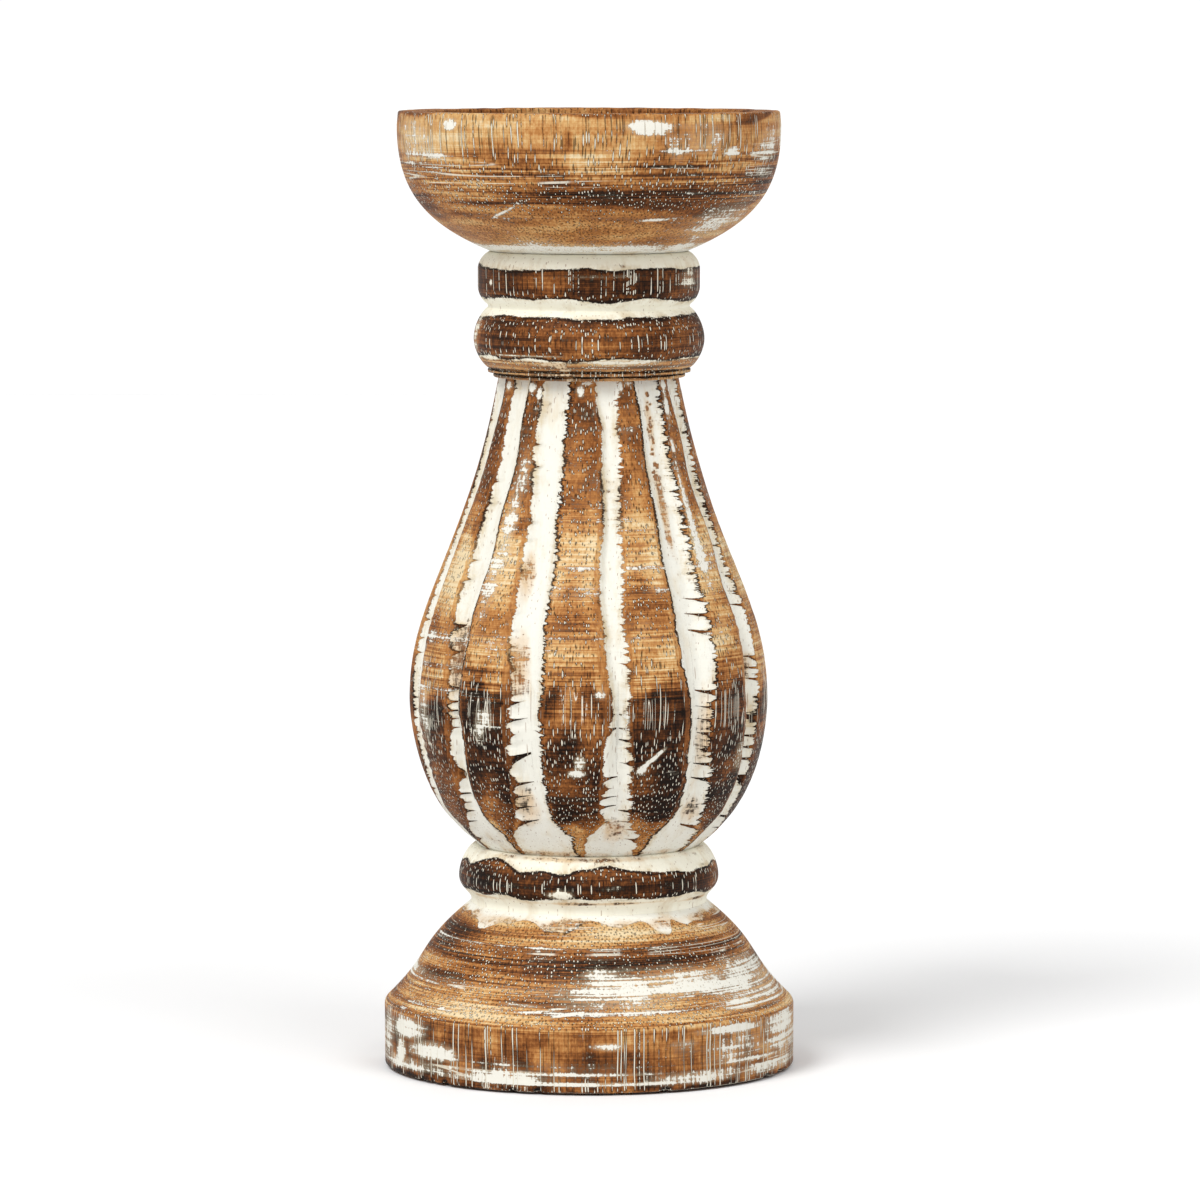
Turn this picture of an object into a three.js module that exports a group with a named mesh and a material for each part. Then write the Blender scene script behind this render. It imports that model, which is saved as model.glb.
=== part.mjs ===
// A turned and carved wooden candlestick for one pillar candle, built as the turner builds it:
// five turned pieces threaded on two glued dowels, with a felt disc let into the underside.
// Lengths are millimetres, +Z is up, and the origin is the centre of the felt, on the table.
import * as THREE from 'three';
import { mergeVertices } from 'three/addons/utils/BufferGeometryUtils.js';

// ---- Driving dimensions ----------------------------------------------------------------------

// The felt disc stands proud of the wood, so that only felt meets the table.
const FELT = { thickness: 1.6, proud: 0.6, margin: 5.8, clearance: 0.3 };

// Foot of the stick: a straight wall, an eased arris and a slope that swells and then hollows.
const BASE = {
  radius: 54.7, height: 43.4, wall: 16.6, bottomEase: 0.9, arris: 1.0,
  swellIn: 12.0, swellUp: 12.0, hollowOut: 15.0, hollowDown: 12.0,
};

// Carved baluster: a pear, widest low down, with flutes between flat ribs.
const BODY = {
  height: 124.6, bottomRadius: 29.4, radius: 47.6, topRadius: 23.9, belly: 39.0,
  lowerOut: 18.2, lowerUp: 12.0, upperUp: 28.5, neckOut: 9.4, neckDown: 50.0,
};
const FLUTES = { count: 12, landShare: 0.56, bellyDepth: 3.0, topDepth: 1.7, bottomDepth: 1.2 };

// Ankle ring: a bead that stands out round the body's foot and spreads a little at its own.
const ANKLE = { step: 1.2, beadOut: 4.0, spread: 0.8, beadLow: 6.8, beadHigh: 8.4 };

// Collar, from the body up: two thin fillets, a large bead, a cove and a smaller, flat-sided bead.
const COLLAR = {
  lipOut: 1.5, lipHeight: 0.9, groove: 0.5, ringOut: 1.5, ringHeight: 0.9,
  lowBeadOut: 3.7, lowBeadLow: 7.8, lowBeadHigh: 8.6,
  coveIn: 3.8, highBeadOut: 2.6, highBeadLow: 4.6, highBeadFlat: 5.6, highBeadHigh: 4.3,
};

// Cup: a bowl on a foot, with a flat-floored recess for the candle.
const CUP = {
  height: 37.0, footRadius: 26.4, radius: 50.8, rimIn: 0.3, rimDown: 4.0,
  flareOut: 18.2, flareUp: 7.5, sideDown: 16.0, rimEase: 0.7,
};
const RECESS = { wall: 7.0, depth: 18.0, taper: 2.6, corner: 3.0, floor: 7.0 };

// Dowels: grooved rod with chamfered ends, glued in sockets a little wider and deeper than it is.
const DOWEL = { radius: 8.0, grooves: 18, grooveDepth: 0.4, chamfer: 0.9, glueGap: 0.2, endGap: 1.5 };
const NECK_DOWEL = { inBody: 24.0 };
const ANKLE_DOWEL = { inBase: 20.0, inBody: 24.0 };

// Fineness of the surfaces.
const AROUND = 48; // facets round a turned piece
const AROUND_FLUTE = 8; // facets round one flute and its rib
const ALONG = 5; // points along one curve
const ALONG_BODY = 9; // points along each of the body's two curves

// ---- Derived sizes and places ------------------------------------------------------------------

const socketRadius = DOWEL.radius + DOWEL.glueGap;
const feltSeatRadius = BASE.radius - FELT.margin;
const feltSink = FELT.thickness - FELT.proud;

const ankleTop = BODY.bottomRadius + ANKLE.step;
const ankleFoot = ankleTop + ANKLE.spread;
const ankleHeight = ANKLE.beadLow + ANKLE.beadHigh;

const lipRadius = BODY.topRadius + COLLAR.lipOut;
const ringRadius = lipRadius + COLLAR.ringOut;
const ringZ = COLLAR.lipHeight + COLLAR.groove;
const lowBeadZ = ringZ + COLLAR.ringHeight;
const coveZ = lowBeadZ + COLLAR.lowBeadLow + COLLAR.lowBeadHigh;
const collarHeight = coveZ + COLLAR.highBeadLow + COLLAR.highBeadFlat + COLLAR.highBeadHigh;

const rimRadius = CUP.radius - CUP.rimIn;
const recessZ = CUP.height - RECESS.depth;
const cupSocket = recessZ - RECESS.floor; // the wood under the candle stays RECESS.floor thick
const dowelInCup = cupSocket - DOWEL.endGap;

const baseAt = FELT.proud;
const ankleAt = baseAt + BASE.height;
const bodyAt = ankleAt + ankleHeight;
const collarAt = bodyAt + BODY.height;
const cupAt = collarAt + collarHeight;

// ---- Finishes ----------------------------------------------------------------------------------

const finish = (color, roughness) => new THREE.MeshStandardMaterial({ color, roughness, metalness: 0 });
const GOLDEN_WOOD = finish(0xa8743f, 0.6);
const DARK_WOOD = finish(0x5e3f28, 0.6);
const LIMED_WOOD = finish(0xc9b99a, 0.75);
const BEECH = finish(0xd2b48a, 0.7);
const BLACK_FELT = finish(0x1c1b1a, 0.95);

// ---- Ways of making a piece --------------------------------------------------------------------

// Turns an outline of (radius, height) points about the axis and stands it up along +Z.
function turn(outline, points = ALONG, around = AROUND) {
  return new THREE.LatheGeometry(outline.getPoints(points), around).rotateX(Math.PI / 2);
}

// One half of a bead: leaves its seat almost level and arrives upright at the waist.
const SEAT_PULL = 0.45; // how far the curve runs before it leaves the seat's line
const WAIST_PULL = 0.42; // how far it stays upright at the waist
const SEAT_RISE = 0.12; // how much it has risen by then

function beadUp(outline, seat, seatZ, waist, waistZ) {
  const out = waist - seat;
  const up = waistZ - seatZ;
  outline.bezierCurveTo(
    seat + out * SEAT_PULL, seatZ + up * SEAT_RISE,
    waist, waistZ - up * WAIST_PULL,
    waist, waistZ,
  );
}

function beadDown(outline, waist, waistZ, seat, seatZ) {
  const out = waist - seat;
  const up = seatZ - waistZ;
  outline.bezierCurveTo(
    waist, waistZ + up * WAIST_PULL,
    seat + out * SEAT_PULL, seatZ - up * SEAT_RISE,
    seat, seatZ,
  );
}

// A blind dowel socket in the top face of a piece, drawn from the face's height down to the axis.
function socketFromTop(outline, faceZ, depth) {
  outline.lineTo(socketRadius, faceZ);
  outline.lineTo(socketRadius, faceZ - depth);
  outline.lineTo(0, faceZ - depth);
}

// A blind dowel socket in the bottom face, at height 0, drawn from the axis down to the face.
function socketFromBottom(outline, depth) {
  outline.moveTo(0, depth);
  outline.lineTo(socketRadius, depth);
  outline.lineTo(socketRadius, 0);
}

function place(name, geometry, material, z) {
  const mesh = new THREE.Mesh(geometry, material);
  mesh.name = name;
  mesh.position.z = z;
  return mesh;
}

// ---- The pieces --------------------------------------------------------------------------------

function feltDisc() {
  const radius = feltSeatRadius - FELT.clearance;
  return new THREE.CylinderGeometry(radius, radius, FELT.thickness, AROUND)
    .rotateX(Math.PI / 2)
    .translate(0, 0, FELT.thickness / 2);
}

// The base has a shallow recess for the felt below and a dowel socket above.
function base() {
  const { radius, height, wall, bottomEase, arris } = BASE;
  const outline = new THREE.Path();
  outline.moveTo(0, feltSink);
  outline.lineTo(feltSeatRadius, feltSink);
  outline.lineTo(feltSeatRadius, 0);
  outline.lineTo(radius - bottomEase, 0);
  outline.lineTo(radius, bottomEase);
  outline.lineTo(radius, wall - arris);
  outline.lineTo(radius - arris * 0.75, wall + arris);
  outline.bezierCurveTo(
    radius - arris - BASE.swellIn, wall + arris + BASE.swellUp,
    ankleFoot + BASE.hollowOut, height - BASE.hollowDown,
    ankleFoot, height,
  );
  socketFromTop(outline, height, ANKLE_DOWEL.inBase + DOWEL.endGap);
  return turn(outline);
}

// The ankle ring is a bead with a hole through it for the dowel.
function ankleRing() {
  const waist = ankleTop + ANKLE.beadOut;
  const outline = new THREE.Path();
  outline.moveTo(socketRadius, 0);
  outline.lineTo(ankleFoot, 0);
  beadUp(outline, ankleFoot, 0, waist, ANKLE.beadLow);
  beadDown(outline, waist, ANKLE.beadLow, ankleTop, ankleHeight);
  outline.lineTo(socketRadius, ankleHeight);
  outline.lineTo(socketRadius, 0);
  return turn(outline);
}

// Depth of the flutes at a height: shallow at the bottom, deepest at the belly, medium at the top.
function fluteDepth(z) {
  const below = z < BODY.belly;
  const share = below ? z / BODY.belly : (z - BODY.belly) / (BODY.height - BODY.belly);
  const swing = (1 - Math.cos(Math.PI * share)) / 2;
  const from = below ? FLUTES.bottomDepth : FLUTES.bellyDepth;
  const to = below ? FLUTES.bellyDepth : FLUTES.topDepth;
  return from + (to - from) * swing;
}

// How much of that depth is cut at an angle: none on a rib's flat land, all in the middle of a flute.
function fluteShape(angle) {
  const pitch = (2 * Math.PI) / FLUTES.count;
  const fromRib = Math.abs(angle / pitch - Math.round(angle / pitch)) * 2;
  const intoFlute = Math.max(0, (fromRib - FLUTES.landShare) / (1 - FLUTES.landShare));
  return Math.sin((intoFlute * Math.PI) / 2);
}

// The body is turned first, then its outer surface is carved, and the sockets stay round.
function flutedBody() {
  const { height, bottomRadius, radius, topRadius, belly } = BODY;
  const outline = new THREE.Path();
  socketFromBottom(outline, ANKLE_DOWEL.inBody + DOWEL.endGap);
  outline.lineTo(bottomRadius, 0);
  outline.bezierCurveTo(bottomRadius + BODY.lowerOut, BODY.lowerUp, radius, belly, radius, belly);
  outline.bezierCurveTo(
    radius, belly + BODY.upperUp,
    topRadius + BODY.neckOut, height - BODY.neckDown,
    topRadius, height,
  );
  socketFromTop(outline, height, NECK_DOWEL.inBody + DOWEL.endGap);
  const geometry = turn(outline, ALONG_BODY, FLUTES.count * AROUND_FLUTE);
  const position = geometry.getAttribute('position');
  const point = new THREE.Vector3();
  const socketEdge = socketRadius + DOWEL.glueGap; // anything nearer the axis is a socket
  for (let i = 0; i < position.count; i++) {
    point.fromBufferAttribute(position, i);
    const r = Math.hypot(point.x, point.y);
    if (r < socketEdge) continue;
    const cut = fluteDepth(point.z) * fluteShape(Math.atan2(point.x, point.y));
    position.setXY(i, (point.x * (r - cut)) / r, (point.y * (r - cut)) / r);
  }
  return geometry;
}

// The collar stands on two thin fillets parted by a groove, and carries two beads and a cove.
function collar() {
  const lowBead = ringRadius + COLLAR.lowBeadOut;
  const cove = lowBead - COLLAR.coveIn;
  const highBead = cove + COLLAR.highBeadOut;
  const outline = new THREE.Path();
  outline.moveTo(socketRadius, 0);
  outline.lineTo(lipRadius, 0);
  outline.lineTo(lipRadius, COLLAR.lipHeight);
  outline.lineTo(lipRadius - COLLAR.groove, COLLAR.lipHeight + COLLAR.groove / 2);
  outline.lineTo(ringRadius, ringZ);
  outline.lineTo(ringRadius, lowBeadZ);
  beadUp(outline, ringRadius, lowBeadZ, lowBead, lowBeadZ + COLLAR.lowBeadLow);
  beadDown(outline, lowBead, lowBeadZ + COLLAR.lowBeadLow, cove, coveZ);
  beadUp(outline, cove, coveZ, highBead, coveZ + COLLAR.highBeadLow);
  outline.lineTo(highBead, collarHeight - COLLAR.highBeadHigh);
  beadDown(outline, highBead, collarHeight - COLLAR.highBeadHigh, CUP.footRadius, collarHeight);
  outline.lineTo(socketRadius, collarHeight);
  outline.lineTo(socketRadius, 0);
  return turn(outline);
}

// The cup is a bowl with a dowel socket in its foot and the candle's recess in its top.
function candleCup() {
  const { height, footRadius, radius, rimDown, rimEase } = CUP;
  const mouth = rimRadius - RECESS.wall;
  const floorRadius = mouth - RECESS.taper;
  const outline = new THREE.Path();
  socketFromBottom(outline, cupSocket);
  outline.lineTo(footRadius, 0);
  outline.bezierCurveTo(
    footRadius + CUP.flareOut, CUP.flareUp,
    radius, height - rimDown - CUP.sideDown,
    radius, height - rimDown,
  );
  outline.lineTo(rimRadius, height - rimEase);
  outline.lineTo(rimRadius - rimEase, height);
  outline.lineTo(mouth + rimEase, height);
  outline.lineTo(mouth, height - rimEase);
  outline.lineTo(floorRadius, recessZ + RECESS.corner);
  outline.quadraticCurveTo(floorRadius, recessZ, floorRadius - RECESS.corner, recessZ);
  outline.lineTo(0, recessZ);
  return turn(outline);
}

// A grooved dowel: a round rod whose rim alternates between crest and groove, chamfered at both ends.
function dowel(length) {
  const steps = DOWEL.grooves * 2;
  const corners = Array.from({ length: steps }, (_, i) => {
    const angle = (i * 2 * Math.PI) / steps;
    const r = DOWEL.radius - (i % 2) * DOWEL.grooveDepth;
    return new THREE.Vector2(r * Math.cos(angle), r * Math.sin(angle));
  });
  const rod = new THREE.ExtrudeGeometry(new THREE.Shape(corners), {
    depth: length - 2 * DOWEL.chamfer,
    bevelEnabled: true,
    bevelSegments: 1,
    bevelThickness: DOWEL.chamfer,
    bevelSize: DOWEL.chamfer,
    bevelOffset: -DOWEL.chamfer,
  });
  rod.deleteAttribute('normal');
  rod.deleteAttribute('uv');
  return mergeVertices(rod.translate(0, 0, DOWEL.chamfer));
}

// ---- The candlestick ---------------------------------------------------------------------------

const ankleDowel = dowel(ANKLE_DOWEL.inBase + ankleHeight + ANKLE_DOWEL.inBody);
const neckDowel = dowel(NECK_DOWEL.inBody + collarHeight + dowelInCup);

const candlestick = new THREE.Group();
candlestick.add(
  place('felt_disc', feltDisc(), BLACK_FELT, 0),
  place('base', base(), GOLDEN_WOOD, baseAt),
  place('ankle_dowel', ankleDowel, BEECH, ankleAt - ANKLE_DOWEL.inBase),
  place('ankle_ring', ankleRing(), DARK_WOOD, ankleAt),
  place('fluted_body', flutedBody(), LIMED_WOOD, bodyAt),
  place('neck_dowel', neckDowel, BEECH, collarAt - NECK_DOWEL.inBody),
  place('neck_collar', collar(), DARK_WOOD, collarAt),
  place('candle_cup', candleCup(), GOLDEN_WOOD, cupAt),
);

export default candlestick;
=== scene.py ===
"""A turned and carved wooden pillar candlestick in worn white paint over brown stain.

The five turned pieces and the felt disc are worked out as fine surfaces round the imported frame.
The two dowels keep their own meshes and take a beech finish. Sizes in the classes are
millimetres, as at the lathe, and angles are degrees from the front, positive towards +X.
"""

import logging
import math
from dataclasses import dataclass, field
from enum import Enum
from typing import Any, Sequence

import bpy
import numpy as np
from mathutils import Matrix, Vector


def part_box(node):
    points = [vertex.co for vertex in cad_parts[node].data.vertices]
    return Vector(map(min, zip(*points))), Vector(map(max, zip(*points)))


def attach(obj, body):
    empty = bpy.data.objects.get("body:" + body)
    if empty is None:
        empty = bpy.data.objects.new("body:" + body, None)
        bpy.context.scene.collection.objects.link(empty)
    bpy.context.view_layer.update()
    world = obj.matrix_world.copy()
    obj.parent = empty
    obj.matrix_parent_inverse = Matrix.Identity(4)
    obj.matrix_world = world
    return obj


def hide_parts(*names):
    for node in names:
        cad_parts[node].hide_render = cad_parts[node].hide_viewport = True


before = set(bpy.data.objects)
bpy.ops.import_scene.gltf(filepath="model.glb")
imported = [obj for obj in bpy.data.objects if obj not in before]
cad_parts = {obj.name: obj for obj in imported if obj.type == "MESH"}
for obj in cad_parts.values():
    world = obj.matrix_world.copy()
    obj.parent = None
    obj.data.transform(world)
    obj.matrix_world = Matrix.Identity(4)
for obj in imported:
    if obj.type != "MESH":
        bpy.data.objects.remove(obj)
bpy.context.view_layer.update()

Field = np.ndarray
Colour = tuple[float, float, float]
MM = 0.001  # metres in a millimetre
FULL_TURN = 360.0
CRISP = 50.0  # a fold sharper than this, in degrees, is shaded as an edge
LIGHT_ON_WALLS = 1.18  # how much light the studio throws on an upright wall
log = logging.getLogger("candlestick")


def heights_of(node: str) -> tuple[float, float]:
    """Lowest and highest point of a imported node, in millimetres."""
    low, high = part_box(node)
    return low.z / MM, high.z / MM


def radius_of(node: str) -> float:
    """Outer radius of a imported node, in millimetres."""
    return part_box(node)[1].x / MM


def paint_chip(red: int, green: int, blue: int) -> Colour:
    """A colour as seen under the studio's lights, as the linear albedo that gives it.

    The display's sRGB curve is undone and the light that falls on an upright wall is divided out.

    Args:
        red: how red it looks, 0 to 255.
        green: how green it looks, 0 to 255.
        blue: how blue it looks, 0 to 255.

    Returns:
        The albedo in red, green and blue.
    """
    shares = (red / 255, green / 255, blue / 255)
    linear = (c / 12.92 if c <= 0.04045 else ((c + 0.055) / 1.055) ** 2.4 for c in shares)
    return tuple(c / LIGHT_ON_WALLS for c in linear)


# ---- Smooth fields ------------------------------------------------------------------------------


def ease(low: float, high: float, value: Field) -> Field:
    """Goes from 0 at low to 1 at high as 3t^2 - 2t^3 of the clamped share t."""
    share = np.clip((value - low) / (high - low), 0.0, 1.0)
    return share * share * (3.0 - 2.0 * share)


def turned(angle: Field, about: float) -> Field:
    """Angle measured from another, brought into -180 to 180."""
    return (angle - about + FULL_TURN / 2) % FULL_TURN - FULL_TURN / 2


@dataclass(frozen=True)
class Ripple:
    """A smooth seeded field with unit spread: a sum of cosine waves in random directions.

    Attributes:
        seed: what the directions, rates and phases are drawn from.
        size: the usual length of one wave, in millimetres.
        waves: how many waves are added.
    """

    seed: int
    size: float
    waves: int = 20

    def at(self, *axes: Field) -> Field:
        """Works the field out.

        Args:
            axes: one, two or three coordinates of the same shape.

        Returns:
            The sum of cos(rate * (direction . point) + phase), scaled to unit spread.
        """
        rng = np.random.default_rng(self.seed)
        directions = rng.normal(size=(self.waves, len(axes)))
        directions /= np.linalg.norm(directions, axis=1, keepdims=True)
        rates = 2 * math.pi / self.size * rng.uniform(0.6, 1.6, self.waves)
        phases = rng.uniform(0, 2 * math.pi, self.waves)
        total = np.zeros(np.broadcast(*axes).shape)
        for direction, rate, phase in zip(directions, rates, phases):
            along = sum(share * axis for share, axis in zip(direction, axes))
            total += np.cos(rate * along + phase)
        return total * math.sqrt(2 / self.waves)


@dataclass(frozen=True)
class Patch:
    """One soft-edged patch of wear on a turned surface.

    Attributes:
        angle: middle of the patch round the axis.
        height: middle of the patch up the axis, in millimetres.
        wide: half width, in degrees.
        tall: half height, in millimetres.
        amount: strength in the middle.
        lean: millimetres that it climbs for each degree round.
    """

    angle: float
    height: float
    wide: float
    tall: float
    amount: float
    lean: float = 0.0

    def at(self, angle: Field, height: Field | float) -> Field:
        """Strength at each point: amount * exp(-(across^2 + up^2)^1.5), a flat-topped hill.

        Args:
            angle: angle of each point.
            height: height of each point, in millimetres.

        Returns:
            The strength at each point.
        """
        across = turned(angle, self.angle)
        up = (height - self.height - self.lean * across) / self.tall
        return self.amount * np.exp(-(((across / self.wide) ** 2 + up**2) ** 1.5))


def patched(marks: Sequence[Patch], angle: Field, height: Field | float) -> Field:
    """The strongest of several patches at each point.

    Args:
        marks: the patches.
        angle: angle of each point.
        height: height of each point, in millimetres.

    Returns:
        Their greatest strength at each point, and 0 at least.
    """
    total = np.zeros(np.broadcast(angle, height).shape)
    for patch in marks:
        total = np.maximum(total, patch.at(angle, height))
    return total


def patches(*rows: tuple[float, ...]) -> tuple[Patch, ...]:
    """Patches from rows of angle, height, wide, tall, amount and, where it leans, lean."""
    return tuple(Patch(*row) for row in rows)


@dataclass(frozen=True)
class Scatter:
    """Random patches for the sides away from the front.

    Attributes:
        seed: what they are drawn from.
        count: how many there are.
        heights: lowest and highest middle, in millimetres.
        wide: smallest and largest half width, in degrees.
        tall: smallest and largest half height, in millimetres.
        amount: weakest and strongest.
    """

    seed: int
    count: int
    heights: tuple[float, float]
    wide: tuple[float, float]
    tall: tuple[float, float]
    amount: tuple[float, float] = (0.5, 0.9)

    def patches(self) -> list[Patch]:
        """Draws the patches, with angles from 95 round the back to 265.

        Returns:
            The patches.
        """
        rng = np.random.default_rng(self.seed)
        ranges = ((95.0, 265.0), self.heights, self.wide, self.tall, self.amount)
        drawn = [rng.uniform(low, high, self.count) for low, high in ranges]
        return [Patch(*(float(value) for value in values)) for values in zip(*drawn)]


# ---- Turned surfaces ----------------------------------------------------------------------------


class Zone(Enum):
    """Which part of a turned piece a stretch of its outline makes."""

    HIDDEN = 0
    WALL = 1
    TOP = 2
    RECESS = 3
    UNDERSIDE = 4


class Outline:
    """A piece's section, drawn as runs of (radius, height) points with an even step in each run."""

    CURVE_POINTS = 200  # points worked out on a curve before they are spaced evenly
    SEAT_PULL = 0.45  # share of a bead's width that its curve runs before it leaves the seat
    SEAT_RISE = 0.12  # share of its height that it has risen by then
    WAIST_PULL = 0.42  # share of its height over which it is upright at the waist

    def __init__(self, radius: float, height: float) -> None:
        """Starts the outline at a point."""
        self.points: list[np.ndarray] = [np.array([[radius, height]])]
        self.zones: list[Zone] = [Zone.HIDDEN]

    def _add(self, path: np.ndarray, step: float, zone: Zone) -> "Outline":
        """Adds a path after its first point, with points an even step apart along it.

        Args:
            path: close points along it.
            step: spacing of the points.
            zone: what it makes.

        Returns:
            The outline, for the next run.
        """
        lengths = np.hypot(*np.diff(path, axis=0).T)
        run = np.concatenate([[0.0], np.cumsum(lengths)])
        count = max(1, round(run[-1] / step))
        places = np.linspace(0.0, run[-1], count + 1)[1:]
        spaced = [np.interp(places, run, path[:, axis]) for axis in (0, 1)]
        self.points.append(np.stack(spaced, axis=1))
        self.zones += [zone] * count
        return self

    def line(
        self, radius: float, height: float, step: float = 5.0, zone: Zone = Zone.HIDDEN
    ) -> "Outline":
        """Draws a straight run to a point."""
        return self._add(np.stack([self.points[-1][-1], (radius, height)]), step, zone)

    def curve(
        self,
        first: tuple[float, float],
        second: tuple[float, float],
        end: tuple[float, float],
        step: float,
        zone: Zone = Zone.WALL,
    ) -> "Outline":
        """Draws a cubic Bezier run: the Bernstein blend of its start, two controls and its end.

        Args:
            first: the control near its start.
            second: the control near its end.
            end: where it ends.
            step: spacing of the points.
            zone: what it makes.

        Returns:
            The outline, for the next run.
        """
        t = np.linspace(0.0, 1.0, self.CURVE_POINTS)[:, None]
        start = self.points[-1][-1]
        path = (
            (1 - t) ** 3 * start
            + 3 * t * (1 - t) ** 2 * np.array(first)
            + 3 * t**2 * (1 - t) * np.array(second)
            + t**3 * np.array(end)
        )
        return self._add(path, step, zone)

    def half_bead(self, end: tuple[float, float], step: float, up: bool) -> "Outline":
        """Draws half a bead: nearly level where it sits, upright at its waist.

        Args:
            end: where it ends.
            step: spacing of the points.
            up: whether it runs from the seat up to the waist, and not from the waist to a seat.

        Returns:
            The outline, for the next run.
        """
        start = self.points[-1][-1]
        seat, waist = (start, np.array(end)) if up else (np.array(end), start)
        out, rise = waist - seat
        near_seat = (seat[0] + self.SEAT_PULL * out, seat[1] + self.SEAT_RISE * rise)
        near_waist = (waist[0], waist[1] - self.WAIST_PULL * rise)
        first, second = (near_seat, near_waist) if up else (near_waist, near_seat)
        return self.curve(first, second, end, step)

    def arrays(self) -> tuple[Field, Field, Field]:
        """Puts the radii, heights and zones of all the points into columns.

        Returns:
            The three columns, of the same length.
        """
        points = np.concatenate(self.points)
        zones = np.array([zone.value for zone in self.zones])
        return points[:, :1], points[:, 1:], zones[:, None]


# Every field that a finish may read. A piece that doesn't set one has 0 there.
LOOKS = (
    "bare", "phase", "bite", "nick", "rim", "bevel", "tone", "wash", "rub", "lime", "dash", "sand",
    "scratch", "comb", "run",
)


@dataclass
class Skin:
    """A closed turned surface as a grid: rows along the outline and columns round the axis.

    Attributes:
        radius: distance from the axis at each grid point, in millimetres.
        height: height at each grid point, in millimetres.
        angle: angle of each column, in degrees.
        zone: which zone each row belongs to.
        ring: whether the outline closes on itself, and doesn't run from axis to axis.
        run: how far along the outline each grid point lies, in millimetres.
        looks: named fields that the finish reads.
    """

    radius: Field
    height: Field
    angle: Field
    zone: Field
    ring: bool = False
    run: Field | None = None
    looks: dict[str, Field | float] = field(default_factory=dict)

    @classmethod
    def turn(cls, outline: Outline, columns: int, ring: bool = False) -> "Skin":
        """Turns an outline about the axis, starting at the back.

        Args:
            outline: the section.
            columns: how many columns go round.
            ring: whether the outline closes on itself.

        Returns:
            The surface, with no looks yet.
        """
        radius, height, zone = outline.arrays()
        angle = (np.arange(columns) / columns - 0.5)[None, :] * FULL_TURN
        grid = np.zeros((len(radius), columns))
        steps = np.hypot(np.diff(radius, axis=0), np.diff(height, axis=0))
        run = np.concatenate([[[0.0]], np.cumsum(steps, axis=0)])
        skin = cls(radius + grid, height + grid, angle + grid, zone + 0 * angle, ring)
        skin.run = run + grid
        return skin

    def on(self, *zones: Zone) -> Field:
        """1 on these zones and 0 elsewhere."""
        return np.isin(self.zone, [zone.value for zone in zones]).astype(float)

    @property
    def x(self) -> Field:
        """Distance to the right, r sin(angle)."""
        return self.radius * np.sin(np.radians(self.angle))

    @property
    def y(self) -> Field:
        """Distance to the back, -r cos(angle)."""
        return -self.radius * np.cos(np.radians(self.angle))

    def ripple(self, seed: int, size: float, rise: float = 1.0, waves: int = 20) -> Field:
        """A seeded ripple over the surface, with its heights multiplied by rise."""
        return Ripple(seed, size, waves).at(self.x, self.y, self.height * rise)

    def around(self, seed: int, size: float, waves: int = 20) -> Field:
        """A seeded ripple that ignores the height."""
        return Ripple(seed, size, waves).at(self.x, self.y)

    def _faces(self) -> list[tuple[int, ...]]:
        """Joins neighbouring rows and columns by quads, with a fan of triangles at each pole.

        Returns:
            The numbers of each face's points.
        """
        rows, columns = self.radius.shape
        index = np.arange(rows * columns).reshape(rows, columns)
        if not self.ring:
            index[0, :] = index[0, 0]
            index[-1, :] = index[-1, 0]
        upper = np.roll(index, -1, axis=0) if self.ring else index[1:]
        lower = index if self.ring else index[:-1]
        if self.ring:
            # The outline's last point is its first again.
            upper, lower = upper[:-1], lower[:-1]
            upper[-1] = index[0]
        turned_lower, turned_upper = np.roll(lower, -1, axis=1), np.roll(upper, -1, axis=1)
        quads = np.stack([lower, turned_lower, turned_upper, upper], axis=-1).reshape(-1, 4)
        return [tuple(dict.fromkeys(quad)) for quad in quads.tolist()]

    def build(self, name: str) -> bpy.types.Object:
        """Puts the surface and its fields into a mesh object at the origin.

        Args:
            name: the object's name.

        Returns:
            The new object, closed, smooth and with its faces outwards.
        """
        points = np.stack([self.x, self.y, self.height], axis=-1).reshape(-1, 3) * MM
        faces = self._faces()
        used = np.unique(np.concatenate([np.array(face) for face in faces]))
        renumbered = np.full(len(points), -1)
        renumbered[used] = np.arange(len(used))
        mesh = bpy.data.meshes.new(name)
        mesh.from_pydata(points[used].tolist(), [], [renumbered[list(face)].tolist() for face in faces])
        self.looks["run"] = self.run
        for look in LOOKS:
            values = self.looks.get(look, 0.0)
            layer = mesh.attributes.new(look, "FLOAT", "POINT")
            spread = np.broadcast_to(values, self.radius.shape).reshape(-1)[used]
            layer.data.foreach_set("value", spread.astype(np.float32))
        mesh.shade_smooth()
        mesh.set_sharp_from_angle(angle=math.radians(CRISP))
        mesh.update()
        piece = bpy.data.objects.new(name, mesh)
        bpy.context.scene.collection.objects.link(piece)
        return piece


# ---- Shader maths -------------------------------------------------------------------------------


class Signal:
    """A number on a shader socket. Arithmetic on it adds Math nodes."""

    def __init__(self, graph: "Graph", socket: bpy.types.NodeSocket) -> None:
        """Wraps a socket of a graph."""
        self.graph = graph
        self.socket = socket

    def __add__(self, other: "Number") -> "Signal":
        """Sum."""
        return self.graph.math("ADD", self, other)

    def __sub__(self, other: "Number") -> "Signal":
        """Difference."""
        return self.graph.math("SUBTRACT", self, other)

    def __rsub__(self, other: "Number") -> "Signal":
        """Difference from a number."""
        return self.graph.math("SUBTRACT", other, self)

    def __mul__(self, other: "Number") -> "Signal":
        """Product."""
        return self.graph.math("MULTIPLY", self, other)

    def __abs__(self) -> "Signal":
        """Size without its sign."""
        return self.graph.math("ABSOLUTE", self)

    __radd__ = __add__
    __rmul__ = __mul__


Number = Signal | float


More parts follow.
